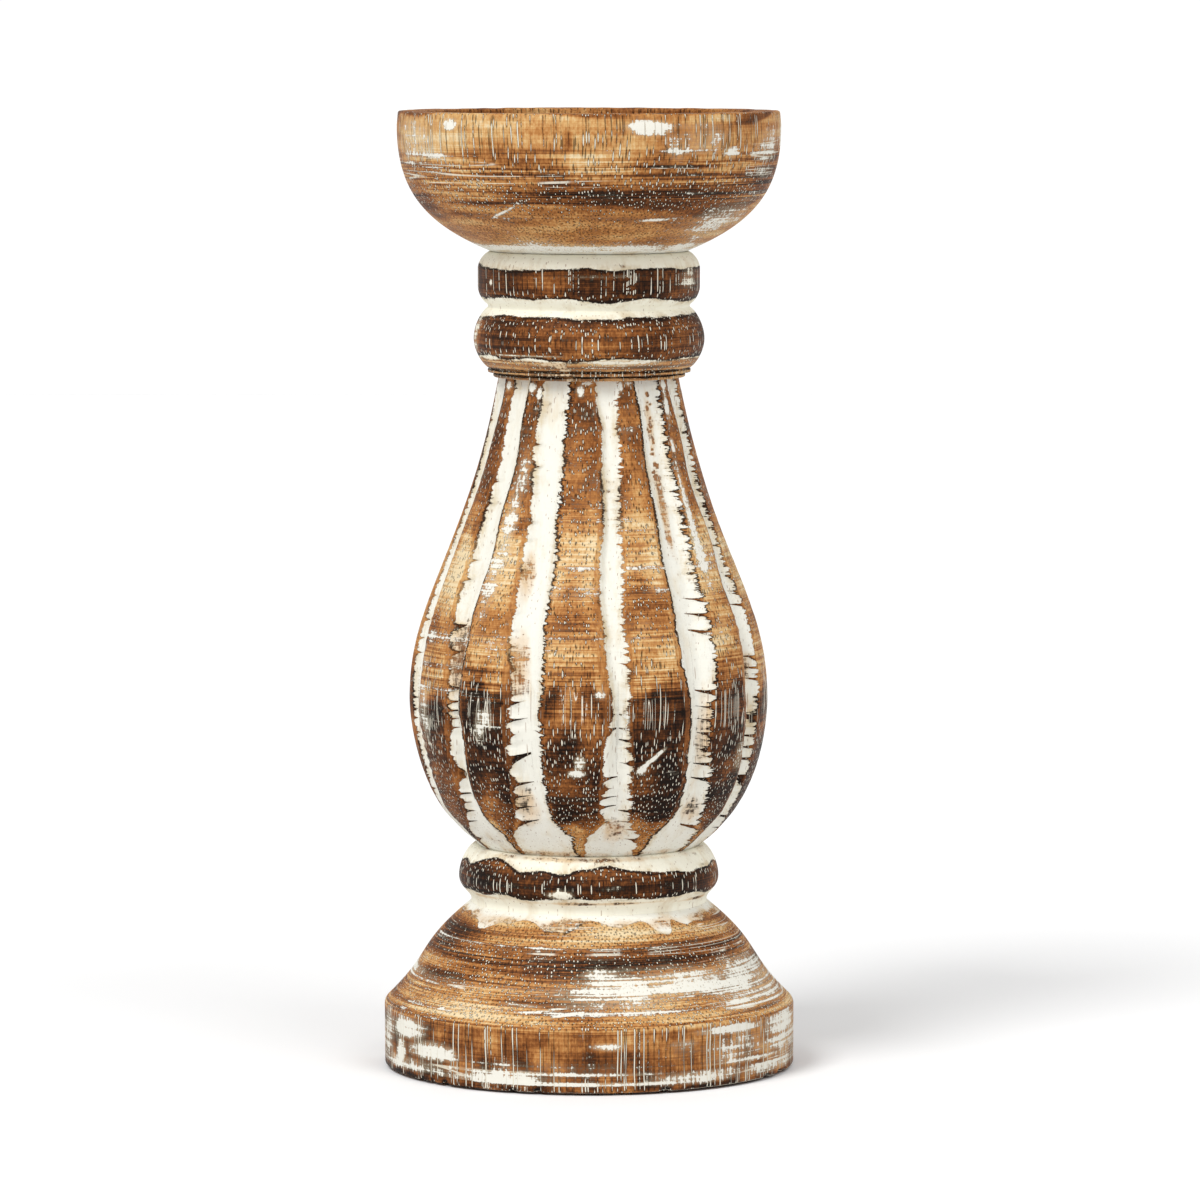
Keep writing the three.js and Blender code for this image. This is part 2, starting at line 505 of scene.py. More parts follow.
class Graph:
    """A material's node tree, with one method that adds any node and short ones for common nodes."""

    def __init__(self, name: str) -> None:
        """Makes an empty material.

        Args:
            name: the material's name.
        """
        self.material = bpy.data.materials.new(name)
        self.material.use_nodes = True
        self.tree = self.material.node_tree
        self.tree.nodes.clear()
        self.where = self.add("ShaderNodeTexCoord").outputs["Object"]

    def add(self, kind: str, settings: dict[str, Any] | None = None, **sockets: Any) -> bpy.types.Node:
        """Adds a node.

        Args:
            kind: the node's type.
            settings: its properties, set before its sockets; a key "stops" fills a colour ramp.
            sockets: value or link of each input, named as the socket with _ for a space, or by
                its number after the letter i.

        Returns:
            The new node.
        """
        node = self.tree.nodes.new(kind)
        for key, value in (settings or {}).items():
            if key == "stops":
                self._fill_ramp(node.color_ramp, value)
            else:
                setattr(node, key, value)
        for key, value in sockets.items():
            numbered = key[0] == "i" and key[1:].isdigit()
            socket = node.inputs[int(key[1:])] if numbered else node.inputs[key.replace("_", " ")]
            self._feed(socket, value)
        return node

    def _feed(self, socket: bpy.types.NodeSocket, value: Any) -> None:
        """Links a socket to a signal or another socket, or sets its value.

        Args:
            socket: the socket.
            value: a signal, a socket or a plain value.
        """
        if isinstance(value, Signal):
            value = value.socket
        if isinstance(value, bpy.types.NodeSocket):
            self.tree.links.new(value, socket)
        elif socket.type == "RGBA" and len(value) == 3:
            socket.default_value = (*value, 1.0)
        else:
            socket.default_value = value

    @staticmethod
    def _fill_ramp(ramp: bpy.types.ColorRamp, stops: Sequence[tuple[float, Colour]]) -> None:
        """Puts the stops into a colour ramp that starts with two.

        Args:
            ramp: the ramp.
            stops: place and colour of each stop.
        """
        for _ in stops[2:]:
            ramp.elements.new(1.0)
        for element, (place, colour) in zip(ramp.elements, stops):
            element.position = place
            element.color = (*colour, 1.0)

    def math(self, operation: str, *values: Number) -> Signal:
        """A Math node on one or more numbers."""
        sockets = {f"i{place}": value for place, value in enumerate(values)}
        return Signal(self, self.add("ShaderNodeMath", {"operation": operation}, **sockets).outputs[0])

    def ramp(self, value: Number, low: Number, high: Number) -> Signal:
        """A smooth step, which falls where low is the greater.

        Args:
            value: what is read.
            low: where the step is 0.
            high: where it is 1.

        Returns:
            The step.
        """
        settings = {"interpolation_type": "SMOOTHSTEP"}
        node = self.add("ShaderNodeMapRange", settings, Value=value, From_Min=low, From_Max=high)
        return Signal(self, node.outputs["Result"])

    def between(self, factor: Number, low: Number, high: Number) -> Signal:
        """A number that share of the way from low to high."""
        node = self.add("ShaderNodeMix", {"data_type": "FLOAT"}, Factor=factor, A=low, B=high)
        return Signal(self, node.outputs["Result"])

    def look(self, name: str) -> Signal:
        """A field of the mesh."""
        settings = {"attribute_type": "GEOMETRY", "attribute_name": name}
        return Signal(self, self.add("ShaderNodeAttribute", settings).outputs["Fac"])

    def vector(self, operation: str, first: Any, second: Any) -> bpy.types.NodeSocket:
        """A Vector Math node on two vectors."""
        return self.add("ShaderNodeVectorMath", {"operation": operation}, i0=first, i1=second).outputs[0]

    def stretched(self, across: float, along: float) -> bpy.types.NodeSocket:
        """Object coordinates times one rate across the axis and another along it, per metre."""
        return self.vector("MULTIPLY", self.where, (across, across, along))

    def noise(self, across: float, along: float, detail: float = 2.0, roughness: float = 0.5) -> Signal:
        """Noise with features 1 / across by 1 / along metres in size, about 0.5 in the middle."""
        return self._noise_at(self.stretched(across, along), detail, roughness)

    def rings(self, across: float, along: float, detail: float = 1.0, roughness: float = 0.5) -> Signal:
        """Noise in rings round the axis: slow across the axis and quick along the outline.

        Args:
            across: features per metre across the axis.
            along: features per metre of the outline.
            detail: how many finer layers it has.
            roughness: how strong those are.

        Returns:
            The noise, about 0.5 in the middle.
        """
        flat = self.vector("MULTIPLY", self.where, (across, across, 0.0))
        climb = self.add("ShaderNodeCombineXYZ", Z=self.look("run") * (along * MM))
        return self._noise_at(self.vector("ADD", flat, climb.outputs[0]), detail, roughness)

    def _noise_at(self, place: bpy.types.NodeSocket, detail: float, roughness: float) -> Signal:
        """Noise read at a place."""
        settings = {"Scale": 1.0, "Detail": detail, "Roughness": roughness}
        return Signal(self, self.add("ShaderNodeTexNoise", Vector=place, **settings).outputs[0])

    def colour_mix(self, factor: Number, base: Any, over: Any) -> bpy.types.NodeSocket:
        """A Mix node on colours: over laid on base by the factor."""
        settings = {"data_type": "RGBA", "blend_type": "MIX"}
        return self.add("ShaderNodeMix", settings, i0=factor, i6=base, i7=over).outputs[2]

    def tint(self, value: Number, stops: Sequence[tuple[float, Colour]]) -> bpy.types.NodeSocket:
        """A colour ramp read at a number."""
        return self.add("ShaderNodeValToRGB", {"stops": stops}, Fac=value).outputs["Color"]

    def finish(
        self, colour: Any, roughness: Any, height: Signal | None, specular: float
    ) -> bpy.types.Material:
        """Ends the tree in a Principled shader.

        Args:
            colour: base colour.
            roughness: roughness.
            height: bump height in millimetres, or None.
            specular: specular level.

        Returns:
            The material.
        """
        sockets = {"Base_Color": colour, "Roughness": roughness}
        if height is not None:
            bump = self.add("ShaderNodeBump", Strength=1.0, Distance=MM, Height=height)
            sockets["Normal"] = bump.outputs["Normal"]
        shader = self.add("ShaderNodeBsdfPrincipled", **sockets)
        shader.inputs["Specular IOR Level"].default_value = specular
        self.add("ShaderNodeOutputMaterial", Surface=shader.outputs["BSDF"])
        return self.material


# ---- Finishes -----------------------------------------------------------------------------------

STAIN = (
    (0.0, paint_chip(238, 216, 174)),
    (0.2, paint_chip(220, 176, 116)),
    (0.4, paint_chip(190, 130, 72)),
    (0.6, paint_chip(140, 84, 40)),
    (0.8, paint_chip(81, 45, 20)),
    (1.0, paint_chip(24, 12, 5)),
)


@dataclass(frozen=True)
class WornPaint:
    """White chalk paint over brown stained wood, rubbed back, with lime left in the pores.

    It reads these fields: bare, millimetres of bare wood inside the paint's edge; bite and phase,
    the depth and count of chisel teeth along that edge; nick, the depth of its fine serration;
    rim, how darkly it is outlined; bevel, millimetres down the bevel of a rib; tone, from
    pale to dark stain; wash, how much dry-brushed paint lies on the wood; rub, how far the thick
    paint is rubbed away; lime, how white the pores are; dash, how far they are broken up;
    sand, how strong the lathe's rings are; scratch, white rings; comb, white upright lines;
    run, millimetres along the outline, which spaces the rings. Where the pores have no lime, the
    wood gets a fine dark stipple, and the spikes of deep teeth are stained darker.

    Attributes:
        name: the material's name.
        paint: colour of the thick paint.
        dirty: colour of the paint where it is thin or soiled.
        lime: colour of the lime in the pores.
        vessel: spacing of the wood's vessels, in millimetres.
        wander: how far a vessel strays from straight, in millimetres.
        spike_power: how thin the spikes at the chisel's teeth are.
    """

    name: str
    paint: Colour = paint_chip(245, 243, 232)
    dirty: Colour = paint_chip(222, 205, 172)
    lime: Colour = paint_chip(238, 231, 212)
    vessel: float = 0.86
    wander: float = 0.8
    spike_power: float = 5.5

    def vessels(self, g: Graph) -> tuple[Signal, Signal, Signal]:
        """Long thin vessels that run up the wood and wander a little.

        The pattern is flat cells in x and y, shifted by slow noise along z, so that a steep wall
        cuts a vessel into a line and a slope cuts it into a dot.

        Args:
            g: the graph.

        Returns:
            How much a point is in a vessel, how much it is beside one, and a random number for
            each vessel.
        """
        slow = g.add("ShaderNodeTexNoise", Vector=g.stretched(30.0, 60.0), Scale=1.0, Detail=1.0)
        strayed = g.vector("SUBTRACT", slow.outputs["Color"], (0.5, 0.5, 0.5))
        stray, rate = self.wander * MM * 2, 1 / (self.vessel * MM)
        strayed = g.vector("MULTIPLY", strayed, (stray, stray, 0.0))
        place = g.vector("MULTIPLY", g.vector("ADD", g.where, strayed), (rate, rate, 0.0))
        cells = g.add("ShaderNodeTexVoronoi", {"voronoi_dimensions": "2D"}, Vector=place, Scale=1.0)
        distance = Signal(g, cells.outputs["Distance"])
        chance = g.add("ShaderNodeSeparateColor", Color=cells.outputs["Color"])
        size = 0.11 + 0.12 * Signal(g, chance.outputs[0])
        gaps = g.ramp(g.noise(420.0, 640.0, 1.0) - g.look("dash") * 0.47, -0.03, 0.0)
        size = size * gaps - (1 - gaps) * 0.3
        inside = g.ramp(distance, size + 0.02, size - 0.05)
        beside = g.ramp(distance, size + 0.24, size + 0.02)
        return inside, beside, Signal(g, chance.outputs[1])

    def torn_edge(self, g: Graph, torn: Signal, crumbs: Signal, blotch: Signal) -> Signal:
        """Millimetres of bare wood inside the paint's edge once the edge has been roughened.

        Between chisel teeth the paint bulges into the wood by a share of the root of |sin|, and at
        each tooth the wood runs out into the paint as a thin spike, a high power of 1 - |sin|.

        Args:
            g: the graph.
            torn: noise stretched round the axis.
            crumbs: very fine noise.
            blotch: broad noise.

        Returns:
            The distance, positive on wood and negative on paint.
        """
        wave = abs(g.math("SINE", g.look("phase") * math.pi))
        spike = g.math("POWER", 1 - wave, self.spike_power)
        lobe = g.math("POWER", wave, 0.5)
        edge = g.look("bare") + g.look("bite") * (spike * 1.15 - lobe * 0.5 + 0.18)
        nick = g.look("nick")
        return edge + (torn - 0.5) * (1.0 + nick * 4.5) + (crumbs - 0.5) * 0.8 + (blotch - 0.5) * 1.2

    def material(self) -> bpy.types.Material:
        """Builds the material.

        Returns:
            Stained wood, with pores, rings, dry-brushed paint and then thick paint laid over it.
        """
        g = Graph(self.name)
        _, pale, _, brown, dark, darkest = (colour for _, colour in STAIN)
        wash, sand = g.look("wash"), g.look("sand")

        grain = g.noise(1500.0, 60.0, 3.0, 0.6)
        lathe = g.rings(16.0, 1250.0, 2.0, 0.6)
        broad_lathe = g.rings(9.0, 380.0)
        fine_lathe = g.rings(30.0, 3000.0)
        blotch = g.noise(120.0, 90.0, 3.0, 0.6)
        speck = g.noise(1300.0, 900.0, 2.0, 0.65)
        torn = g.noise(230.0, 1200.0, 3.0, 0.6)
        crumbs = g.noise(1700.0, 1700.0, 2.0, 0.6)
        inside, beside, chance = self.vessels(g)

        ragged = self.torn_edge(g, torn, crumbs, blotch)
        painted = g.ramp(ragged, 0.14, -0.14)
        thin = g.ramp(ragged, -2.0, 0.0) * g.ramp(blotch + (grain - 0.5) * 0.6, 0.40, 0.62)
        outline = g.ramp(abs(ragged - 0.28) - (speck - 0.5) * 0.8, 0.75, 0.25)
        outline = outline * g.ramp(g.look("rim") + (blotch - 0.5) * 2.2, 0.35, 0.65)
        claw = g.ramp(g.look("bare"), 0.5, -0.5) * g.ramp(g.look("bite"), 0.9, 2.4)

        # The stained wood; along a rib's bevel it is smooth and mid brown.
        strip = g.ramp(g.look("bevel") + (blotch - 0.5) * 1.2, 0.3, 0.7) * 0.7
        shade = g.look("tone") + (blotch - 0.5) * 0.5 + (grain - 0.5) * 0.4 + (speck - 0.5) * 0.45
        rings = (lathe - 0.5) * 1.2 + (broad_lathe - 0.5) * 0.3 + (fine_lathe - 0.5) * 0.8
        shade = shade + rings * (0.1 + 0.9 * sand) * (1 - strip * 0.6)
        shade = shade + g.ramp(lathe, 0.58, 0.66) * sand * 0.12
        shade = g.between(strip, shade, 0.50 + (grain - 0.5) * 0.5 + (shade - 0.5) * 0.3)
        wood = g.tint(shade + claw * 0.30, STAIN)
        wood = g.colour_mix(outline * 0.92, wood, darkest)

        # Pores: dark beside, and white or dark inside.
        filled = g.ramp(g.look("lime") + (chance - 0.5) * 0.9 + (speck - 0.5) * 0.8, 0.42, 0.56)
        soft = 1 - strip * 0.8
        halo = beside * (0.26 + 0.16 * g.look("dash") + 0.42 * filled) * soft
        wood = g.colour_mix(halo, wood, darkest)
        wood = g.colour_mix(inside * (1 - filled) * 0.65 * soft, wood, darkest)
        stipple = g.ramp(crumbs, 0.55, 0.66) * g.ramp(g.look("lime"), 0.30, 0.10)
        wood = g.colour_mix(stipple * 0.5, wood, dark)
        wood = g.colour_mix(inside * filled * soft, wood, self.lime)

        # Thin white scratches, level and upright, are the contours of a stretched noise.
        level = g.rings(13.0, 700.0, 0.0)
        gate = g.ramp(g.look("scratch") + (blotch - 0.5) * 1.8 + (broad_lathe - 0.5) * 1.4, 0.5, 0.8)
        scored = g.ramp(abs(level - 0.5), 0.030, 0.010) * gate
        wood = g.colour_mix(scored * 0.85, wood, self.lime)
        upright = g.noise(1000.0, 46.0, 0.0)
        gate = g.ramp(g.look("comb") + (blotch - 0.5) * 1.6 + (torn - 0.5) * 0.8, 0.5, 0.75)
        combed = g.ramp(abs(upright - 0.5), 0.040, 0.015) * gate
        wood = g.colour_mix(combed * 0.9, wood, self.lime)

        # Dry-brushed paint catches on rings, grain and blotches.
        catch = (lathe - 0.5) * (0.8 + 1.5 * sand) + (broad_lathe - 0.5) * (0.3 + 1.1 * sand)
        catch = catch + (blotch - 0.5) * 1.5 + (speck - 0.5) * 1.0
        catch = catch + (grain - 0.5) * (1.3 - 0.9 * sand)
        brushed = g.ramp(catch + wash * 1.2, 0.66, 0.80)
        haze = g.ramp(catch * 0.6 + wash * 1.2, 0.2, 0.9) * 0.42
        wood = g.colour_mix(haze, wood, self.dirty)
        wood = g.colour_mix(brushed * 0.94 * (1 - inside * 0.6), wood, self.paint)

        # Thick paint, soiled where it is thin, rubbed away in places, with a few pits.
        rubbing = g.look("rub") + (blotch - 0.5) * 1.6 + (torn - 0.5) * 1.2 + (grain - 0.5)
        rubbed = g.ramp(rubbing, 0.42, 0.7)
        streaks = g.noise(260.0, 28.0, 3.0, 0.65)
        soiled = g.ramp(streaks + (blotch - 0.5) * 0.5, 0.46, 0.80) * 0.5 + thin * 0.65
        paint = g.colour_mix(soiled, self.paint, self.dirty)
        seep = g.ramp(g.look("rub") + (streaks - 0.5) * 0.5 + (blotch - 0.5) * 0.8, 0.1, 0.6)
        paint = g.colour_mix(seep * 0.62, paint, pale)
        pits = inside * g.ramp(chance + (speck - 0.5) * 0.6, 0.70, 0.78)
        paint = g.colour_mix(pits * 0.5, paint, brown)
        painted = painted * (1 - rubbed * 0.9)
        colour = g.colour_mix(painted, wood, paint)

        covered = g.math("MAXIMUM", painted, brushed)
        roughness = g.between(covered, 0.55 + (grain - 0.5) * 0.2, 0.8)
        height = covered * 0.12 - inside * (1 - covered * 0.6) * 0.10 + grain * 0.05
        height = height + lathe * (0.03 + 0.09 * sand) + streaks * painted * 0.22
        height = height + crumbs * 0.04 + broad_lathe * painted * 0.08
        return g.finish(colour, roughness, height, 0.1)


@dataclass(frozen=True)
class Beech:
    """Plain beech rod: pale, straight grain with short dark flecks."""

    name: str = "plain_beech"

    def material(self) -> bpy.types.Material:
        """Builds the material: stretched noise for the grain and threshold noise for the flecks.

        Returns:
            The rod's material.
        """
        g = Graph(self.name)
        grain = g.noise(900.0, 40.0, 3.0, 0.6)
        flecks = g.ramp(g.noise(1500.0, 420.0), 0.62, 0.70)
        stops = ((0.2, paint_chip(196, 158, 112)), (0.8, paint_chip(222, 190, 148)))
        colour = g.colour_mix(flecks * 0.5, g.tint(grain, stops), paint_chip(150, 106, 66))
        return g.finish(colour, 0.6 + (grain - 0.5) * 0.1, grain * 0.05 - flecks * 0.03, 0.3)


@dataclass(frozen=True)
class Felt:
    """Pressed black felt: matted fibres with a little lint."""

    name: str = "pressed_felt"

    def material(self) -> bpy.types.Material:
        """Builds the material: crossed fine noise for the fibres and sparse pale lint.

        Returns:
            The felt's material.
        """
        g = Graph(self.name)
        fibres = g.noise(2600.0, 2600.0, 4.0, 0.75)
        matted = g.noise(300.0, 300.0, 3.0, 0.6)
        stops = ((0.3, paint_chip(20, 19, 18)), (0.75, paint_chip(52, 50, 48)))
        lint = g.ramp(fibres + (matted - 0.5) * 0.5, 0.74, 0.8)
        colour = g.colour_mix(lint * 0.6, g.tint(fibres, stops), paint_chip(120, 116, 110))
        return g.finish(colour, 0.95, fibres * 0.25 + matted * 0.3, 0.1)


# ---- The turned pieces --------------------------------------------------------------------------


def dress(
    piece: bpy.types.Object,
    material: bpy.types.Material,
    node: str,
) -> bpy.types.Object:
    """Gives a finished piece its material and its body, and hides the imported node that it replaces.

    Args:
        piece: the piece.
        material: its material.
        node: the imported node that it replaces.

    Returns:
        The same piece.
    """
    piece.data.materials.append(material)
    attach(piece, "root")
    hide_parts(node)
    return piece


@dataclass
class Cup:
    """The candle cup: a bowl with a flat-floored recess, golden above and limed brown below, the brown
    deepened partly by painted shade where the bowl turns under.
    """

    node: str = "candle_cup"
    columns: int = 420
    step: float = 0.42
    foot_radius: float = 26.4
    radius: float = 50.82
    rim_radius: float = 50.55
    rim_down: float = 3.8
    wall: float = 7.0
    recess_depth: float = 18.0
    recess_taper: float = 2.6
    socket_radius: float = 8.2
    socket_depth: float = 12.0
    washes: tuple[Patch, ...] = patches(
        (18, 250.3, 7.0, 2.2, 1.05), (-45.5, 250.8, 3.6, 1.8, 0.85), (36, 248.0, 10.0, 5.0, 0.48),
        (-66, 246.5, 20.0, 6.5, 0.46), (47, 243.6, 3.6, 1.8, 0.66), (27, 245.0, 3.5, 4.6, 0.42),
        (68, 244.0, 10.0, 6.5, 0.50), (86, 248.0, 7.0, 5.0, 0.6), (-52, 242.6, 8.0, 1.2, 0.55),
        (58, 227.0, 18.0, 5.0, 0.44, 0.10), (-30, 228.5, 5.5, 0.4, 0.75, 0.28),
        (24, 226.3, 6.0, 0.35, 0.65, 0.03),
    )
    combs: tuple[Patch, ...] = patches(
        (-62, 247.0, 24.0, 8.0, 0.62), (22, 248.0, 40.0, 6.0, 0.34), (72, 247.0, 12.0, 8.0, 0.62),
        (180, 247.0, 70.0, 7.0, 0.5),
    )
    scratches: tuple[Patch, ...] = patches(
        (-48, 238.0, 46.0, 5.2, 0.85), (-4, 236.2, 22.0, 1.8, 0.8), (70, 242.0, 16.0, 6.5, 0.9),
        (36, 240.5, 34.0, 2.4, 0.6), (180, 237.5, 70.0, 5.5, 0.8),
    )

    def outline(self) -> Outline:
        """Socket, bowl, rim, recess wall and floor, from the axis back to the axis.

        Returns:
            The section.
        """
        low, high = heights_of(self.node)
        mouth = self.rim_radius - self.wall
        floor = high - self.recess_depth
        floor_radius = mouth - self.recess_taper
        section = Outline(0.0, low + self.socket_depth)
        section.line(self.socket_radius, low + self.socket_depth).line(self.socket_radius, low)
        section.line(self.foot_radius - 0.8, low).line(self.foot_radius - 0.3, low, zone=Zone.WALL)
        section.line(self.foot_radius, low + 0.15, 0.1, Zone.WALL)
        section.curve(
            (self.foot_radius + 18.2, low + 7.7),
            (self.radius, low + 17.0),
            (self.radius, high - self.rim_down),
            self.step,
        )
        section.line(self.rim_radius, high - 0.75, self.step, Zone.WALL)
        section.curve(
            (self.rim_radius - 0.05, high - 0.2),
            (self.rim_radius - 0.3, high),
            (self.rim_radius - 0.9, high),
            0.2,
        )
        section.line(mouth + 0.9, high, 0.7, Zone.TOP)
        section.curve((mouth + 0.2, high), (mouth, high - 0.3), (mouth, high - 1.0), 0.25, Zone.TOP)
        section.line(floor_radius, floor + 3.0, 0.9, Zone.RECESS)
        section.curve(
            (floor_radius - 0.3, floor + 0.8),
            (floor_radius - 1.2, floor),
            (floor_radius - 3.0, floor),
            0.4,
            Zone.RECESS,
        )
        return section.line(0.0, floor, 1.0, Zone.RECESS)

    def build(self) -> bpy.types.Object:
        """Makes the surface: the turned bowl, a little out of true, with worn edges on the rim.

        Returns:
            The new piece.
        """
        skin = Skin.turn(self.outline(), self.columns)
        z, angle = skin.height, skin.angle
        shown = skin.on(Zone.WALL, Zone.TOP)
        dents = skin.ripple(11, 9.0)
        skin.radius += shown * ease(217.0, 222.0, z) * (skin.ripple(12, 60.0) * 0.07)
        rim = ease(251.5, 254.0, z) * shown
        skin.height -= rim * (0.06 + 0.07 * np.clip(dents, -1, 1.5))
        skin.looks = self.fields(skin, z, angle)
        return skin.build("turned_cup")

    def fields(self, skin: Skin, z: Field, angle: Field) -> dict[str, Field | float]:
        """Where the stain, the lime, the rings and the dry-brushed paint lie; the stain's tone also
        holds painted shade round the lower bowl and on the right side, and painted light on the left.

        Args:
            skin: the surface.
            z: heights.
            angle: angles.

        Returns:
            The named fields of the finish.
        """
        wall = skin.on(Zone.WALL)
        cloud = skin.ripple(13, 34.0, 2.5)
        streak = skin.ripple(14, 26.0, 7.0)
        bend = z + 1.1 * skin.around(15, 60.0) + 0.5 * streak
        # Tone up the bowl; the dark band at 230 to 233 is partly stain and partly painted shade where
        # the bowl turns under.
        knots = (217, 219.5, 222, 228.6, 230.0, 233.0, 237.5, 241.0, 247.0, 253.2, 254.0)
        tones = (0.34, 0.36, 0.38, 0.42, 0.62, 0.63, 0.55, 0.42, 0.32, 0.32, 0.62)
        tone = np.interp(bend, knots, tones) + 0.05 * cloud + 0.05 * streak
        # Dark patches, mostly on the right, and light ones on the front and left: partly stain that
        # varies, partly painted shade on the right and painted light on the lit left.
        dark = patched(patches(
            (24, 231.6, 44.0, 4.2, 0.17), (72, 238.0, 12.0, 9.0, 0.22), (30, 248.0, 16.0, 7.0, 0.10),
            (-6, 247.0, 1.3, 2.4, 0.35), (200, 232.0, 60.0, 3.5, 0.22),
        ), angle, z)
        light = patched(patches(
            (-50, 247.0, 26.0, 8.0, 0.10), (4, 238.5, 9.0, 3.0, 0.14), (-44, 236.5, 26.0, 5.0, 0.19),
            (0, 248.0, 30.0, 6.0, 0.03),
        ), angle, z)
        tone = np.where(wall > 0, np.minimum(tone + dark, 0.76) - light, 0.50 + 0.07 * cloud)
        wash = patched(self.washes, angle, z)
        back = Scatter(16, 9, (240.0, 252.0), (4.0, 14.0), (1.5, 4.5)).patches()
        wash = np.maximum(wash, patched(back, angle, z)) * wall
        foot = ease(221.5, 217.6, z + 0.5 * cloud) * wall
        limes = (0.05, 0.12, 0.66, 0.62, 0.42, 0.40)
        return {
            "bare": np.where(wall > 0, (z - 217.7) * 1.6 + 0.3 * cloud, 6.0),
            "tone": tone,
            "wash": np.maximum(wash, 0.62 * foot) + 0.02 + 0.16 * ease(230.0, 226.0, z),
            "comb": patched(self.combs, angle, z),
            "dash": np.interp(z, (227, 230, 237, 242), (0.9, 0.8, 0.6, 0.18)),
            "lime": wall * np.interp(z, (222, 228, 230, 236, 246, 252), limes),
            "sand": np.interp(z, (218, 229, 232, 241, 246), (0.1, 0.2, 1.0, 1.0, 0.12)),
            "rim": 0.2,
            "scratch": patched(self.scratches, angle, z) * wall,
        }


@dataclass
class Collar:
    """The neck collar: two dark beads with painted hollows above, between and below them."""

    node: str = "neck_collar"
    columns: int = 340
    step: float = 0.4
    bore: float = 8.2
    lip: float = 25.4
    ring: float = 26.9
    low_bead: float = 30.58
    cove: float = 26.75
    high_bead: float = 29.42
    top: float = 26.4

    def outline(self) -> Outline:
        """Bore, two fillets and a groove, the large bead, the cove and the flat-sided bead.

        Returns:
            The section.
        """
        low, high = heights_of(self.node)
        section = Outline(self.bore, low)
        section.line(self.lip - 0.7, low).line(self.lip - 0.2, low, zone=Zone.WALL)
        section.line(self.lip, low + 0.2, 0.2, Zone.WALL)
        section.line(self.lip, low + 0.75, 0.25, Zone.WALL)
        section.line(self.lip - 0.45, low + 1.05, 0.25, Zone.WALL)
        section.line(self.ring - 0.1, low + 1.3, 0.3, Zone.WALL)
        section.line(self.ring, low + 1.9, 0.3, Zone.WALL)
        section.line(self.ring - 0.35, low + 2.3, 0.25, Zone.WALL)
        section.half_bead((self.low_bead, low + 10.1), self.step, up=True)
        section.half_bead((self.cove, low + 18.4), self.step, up=False)
        section.curve(
            (self.cove - 0.06, low + 18.75),
            (self.cove + 0.05, low + 19.0),
            (self.cove + 0.25, low + 19.3),
            0.25,
        )
        section.half_bead((self.high_bead, low + 23.9), self.step, up=True)
        section.line(self.high_bead, low + 28.6, self.step, Zone.WALL)
        section.half_bead((self.top, high - 0.1), self.step, up=False)
        return section.line(self.bore, high).line(self.bore, low)

    def build(self) -> bpy.types.Object:
        """Makes the surface and its fields: two bands of bare wood between wandering edges.

        Returns:
            The new piece.
        """
        low, _ = heights_of(self.node)
        skin = Skin.turn(self.outline(), self.columns, ring=True)
        z, angle = skin.height, skin.angle
        wall = skin.on(Zone.WALL)
        skin.radius += wall * 0.05 * skin.ripple(21, 40.0)
        drift = [skin.around(22 + k, 26.0) for k in range(4)]
        upper = np.minimum(z - (low + 21.2 + 0.4 * drift[0]), (low + 29.4 + 0.45 * drift[1]) - z)
        lower = np.minimum(z - (low + 5.6 + 0.4 * drift[2]), (low + 16.7 + 0.4 * drift[3]) - z)
        bare = np.maximum(upper, lower) * 1.15
        cloud = skin.ripple(27, 22.0)
        tone = 0.78 + 0.06 * cloud - 0.2 * ease(0.9, 0.0, bare)
        glow = patches((4, low + 10.5, 30.0, 6.0, 0.20), (-22, low + 26, 14.0, 3.0, 0.12))
        worn = patches((-78, low + 12, 9.0, 8.0, 0.35), (170, low + 11, 40.0, 6.0, 0.3))
        # Under the lower bead, down to the fillets, the paint gives way to paler wood with a little
        # dry-brushed white, so the underside is darker than the paint above; the groove and the step get
        # thin dark lines.
        under = ease(low + 6.0, low + 4.6, z)
        lines = np.maximum(0.34 - np.abs(z - low - 1.02), 0.36 - np.abs(z - low - 2.35))
        bare = np.maximum(bare, np.where(z < low + 3.0, lines * 2.2 + 0.12 * drift[0], -9.0))
        wash = patched(patches(
            (64, low + 26.6, 9.0, 3.0, 0.55), (-61, low + 25.4, 1.6, 1.0, 0.9),
            (-35, low + 6.6, 26.0, 0.4, 0.95), (20, low + 4.9, 26.0, 0.9, 0.8),
            (-80, low + 12.0, 6.0, 8.0, 0.45), (4, low + 27.4, 30.0, 0.5, 0.35),
        ), angle, z)
        back = Scatter(28, 7, (low + 6, low + 28), (4.0, 10.0), (1.0, 3.0)).patches()
        skin.looks = {
            "bare": np.where(wall > 0, bare, 4.0),
            "tone": tone - patched(glow, angle, z) - patched(worn, angle, z) - 0.12 * under,
            "wash": np.maximum(wash, patched(back, angle, z)) + 0.07 * under,
            "rub": under * (1.02 + 0.2 * skin.around(29, 24.0)),
            "rim": 0.8,
            "dash": 0.9,
            "nick": 0.15,
            "lime": np.where(wall > 0, 0.74 + 0.08 * cloud, 0.0),
            "sand": 0.3 + 0.6 * under,
        }
        return skin.build("turned_collar")


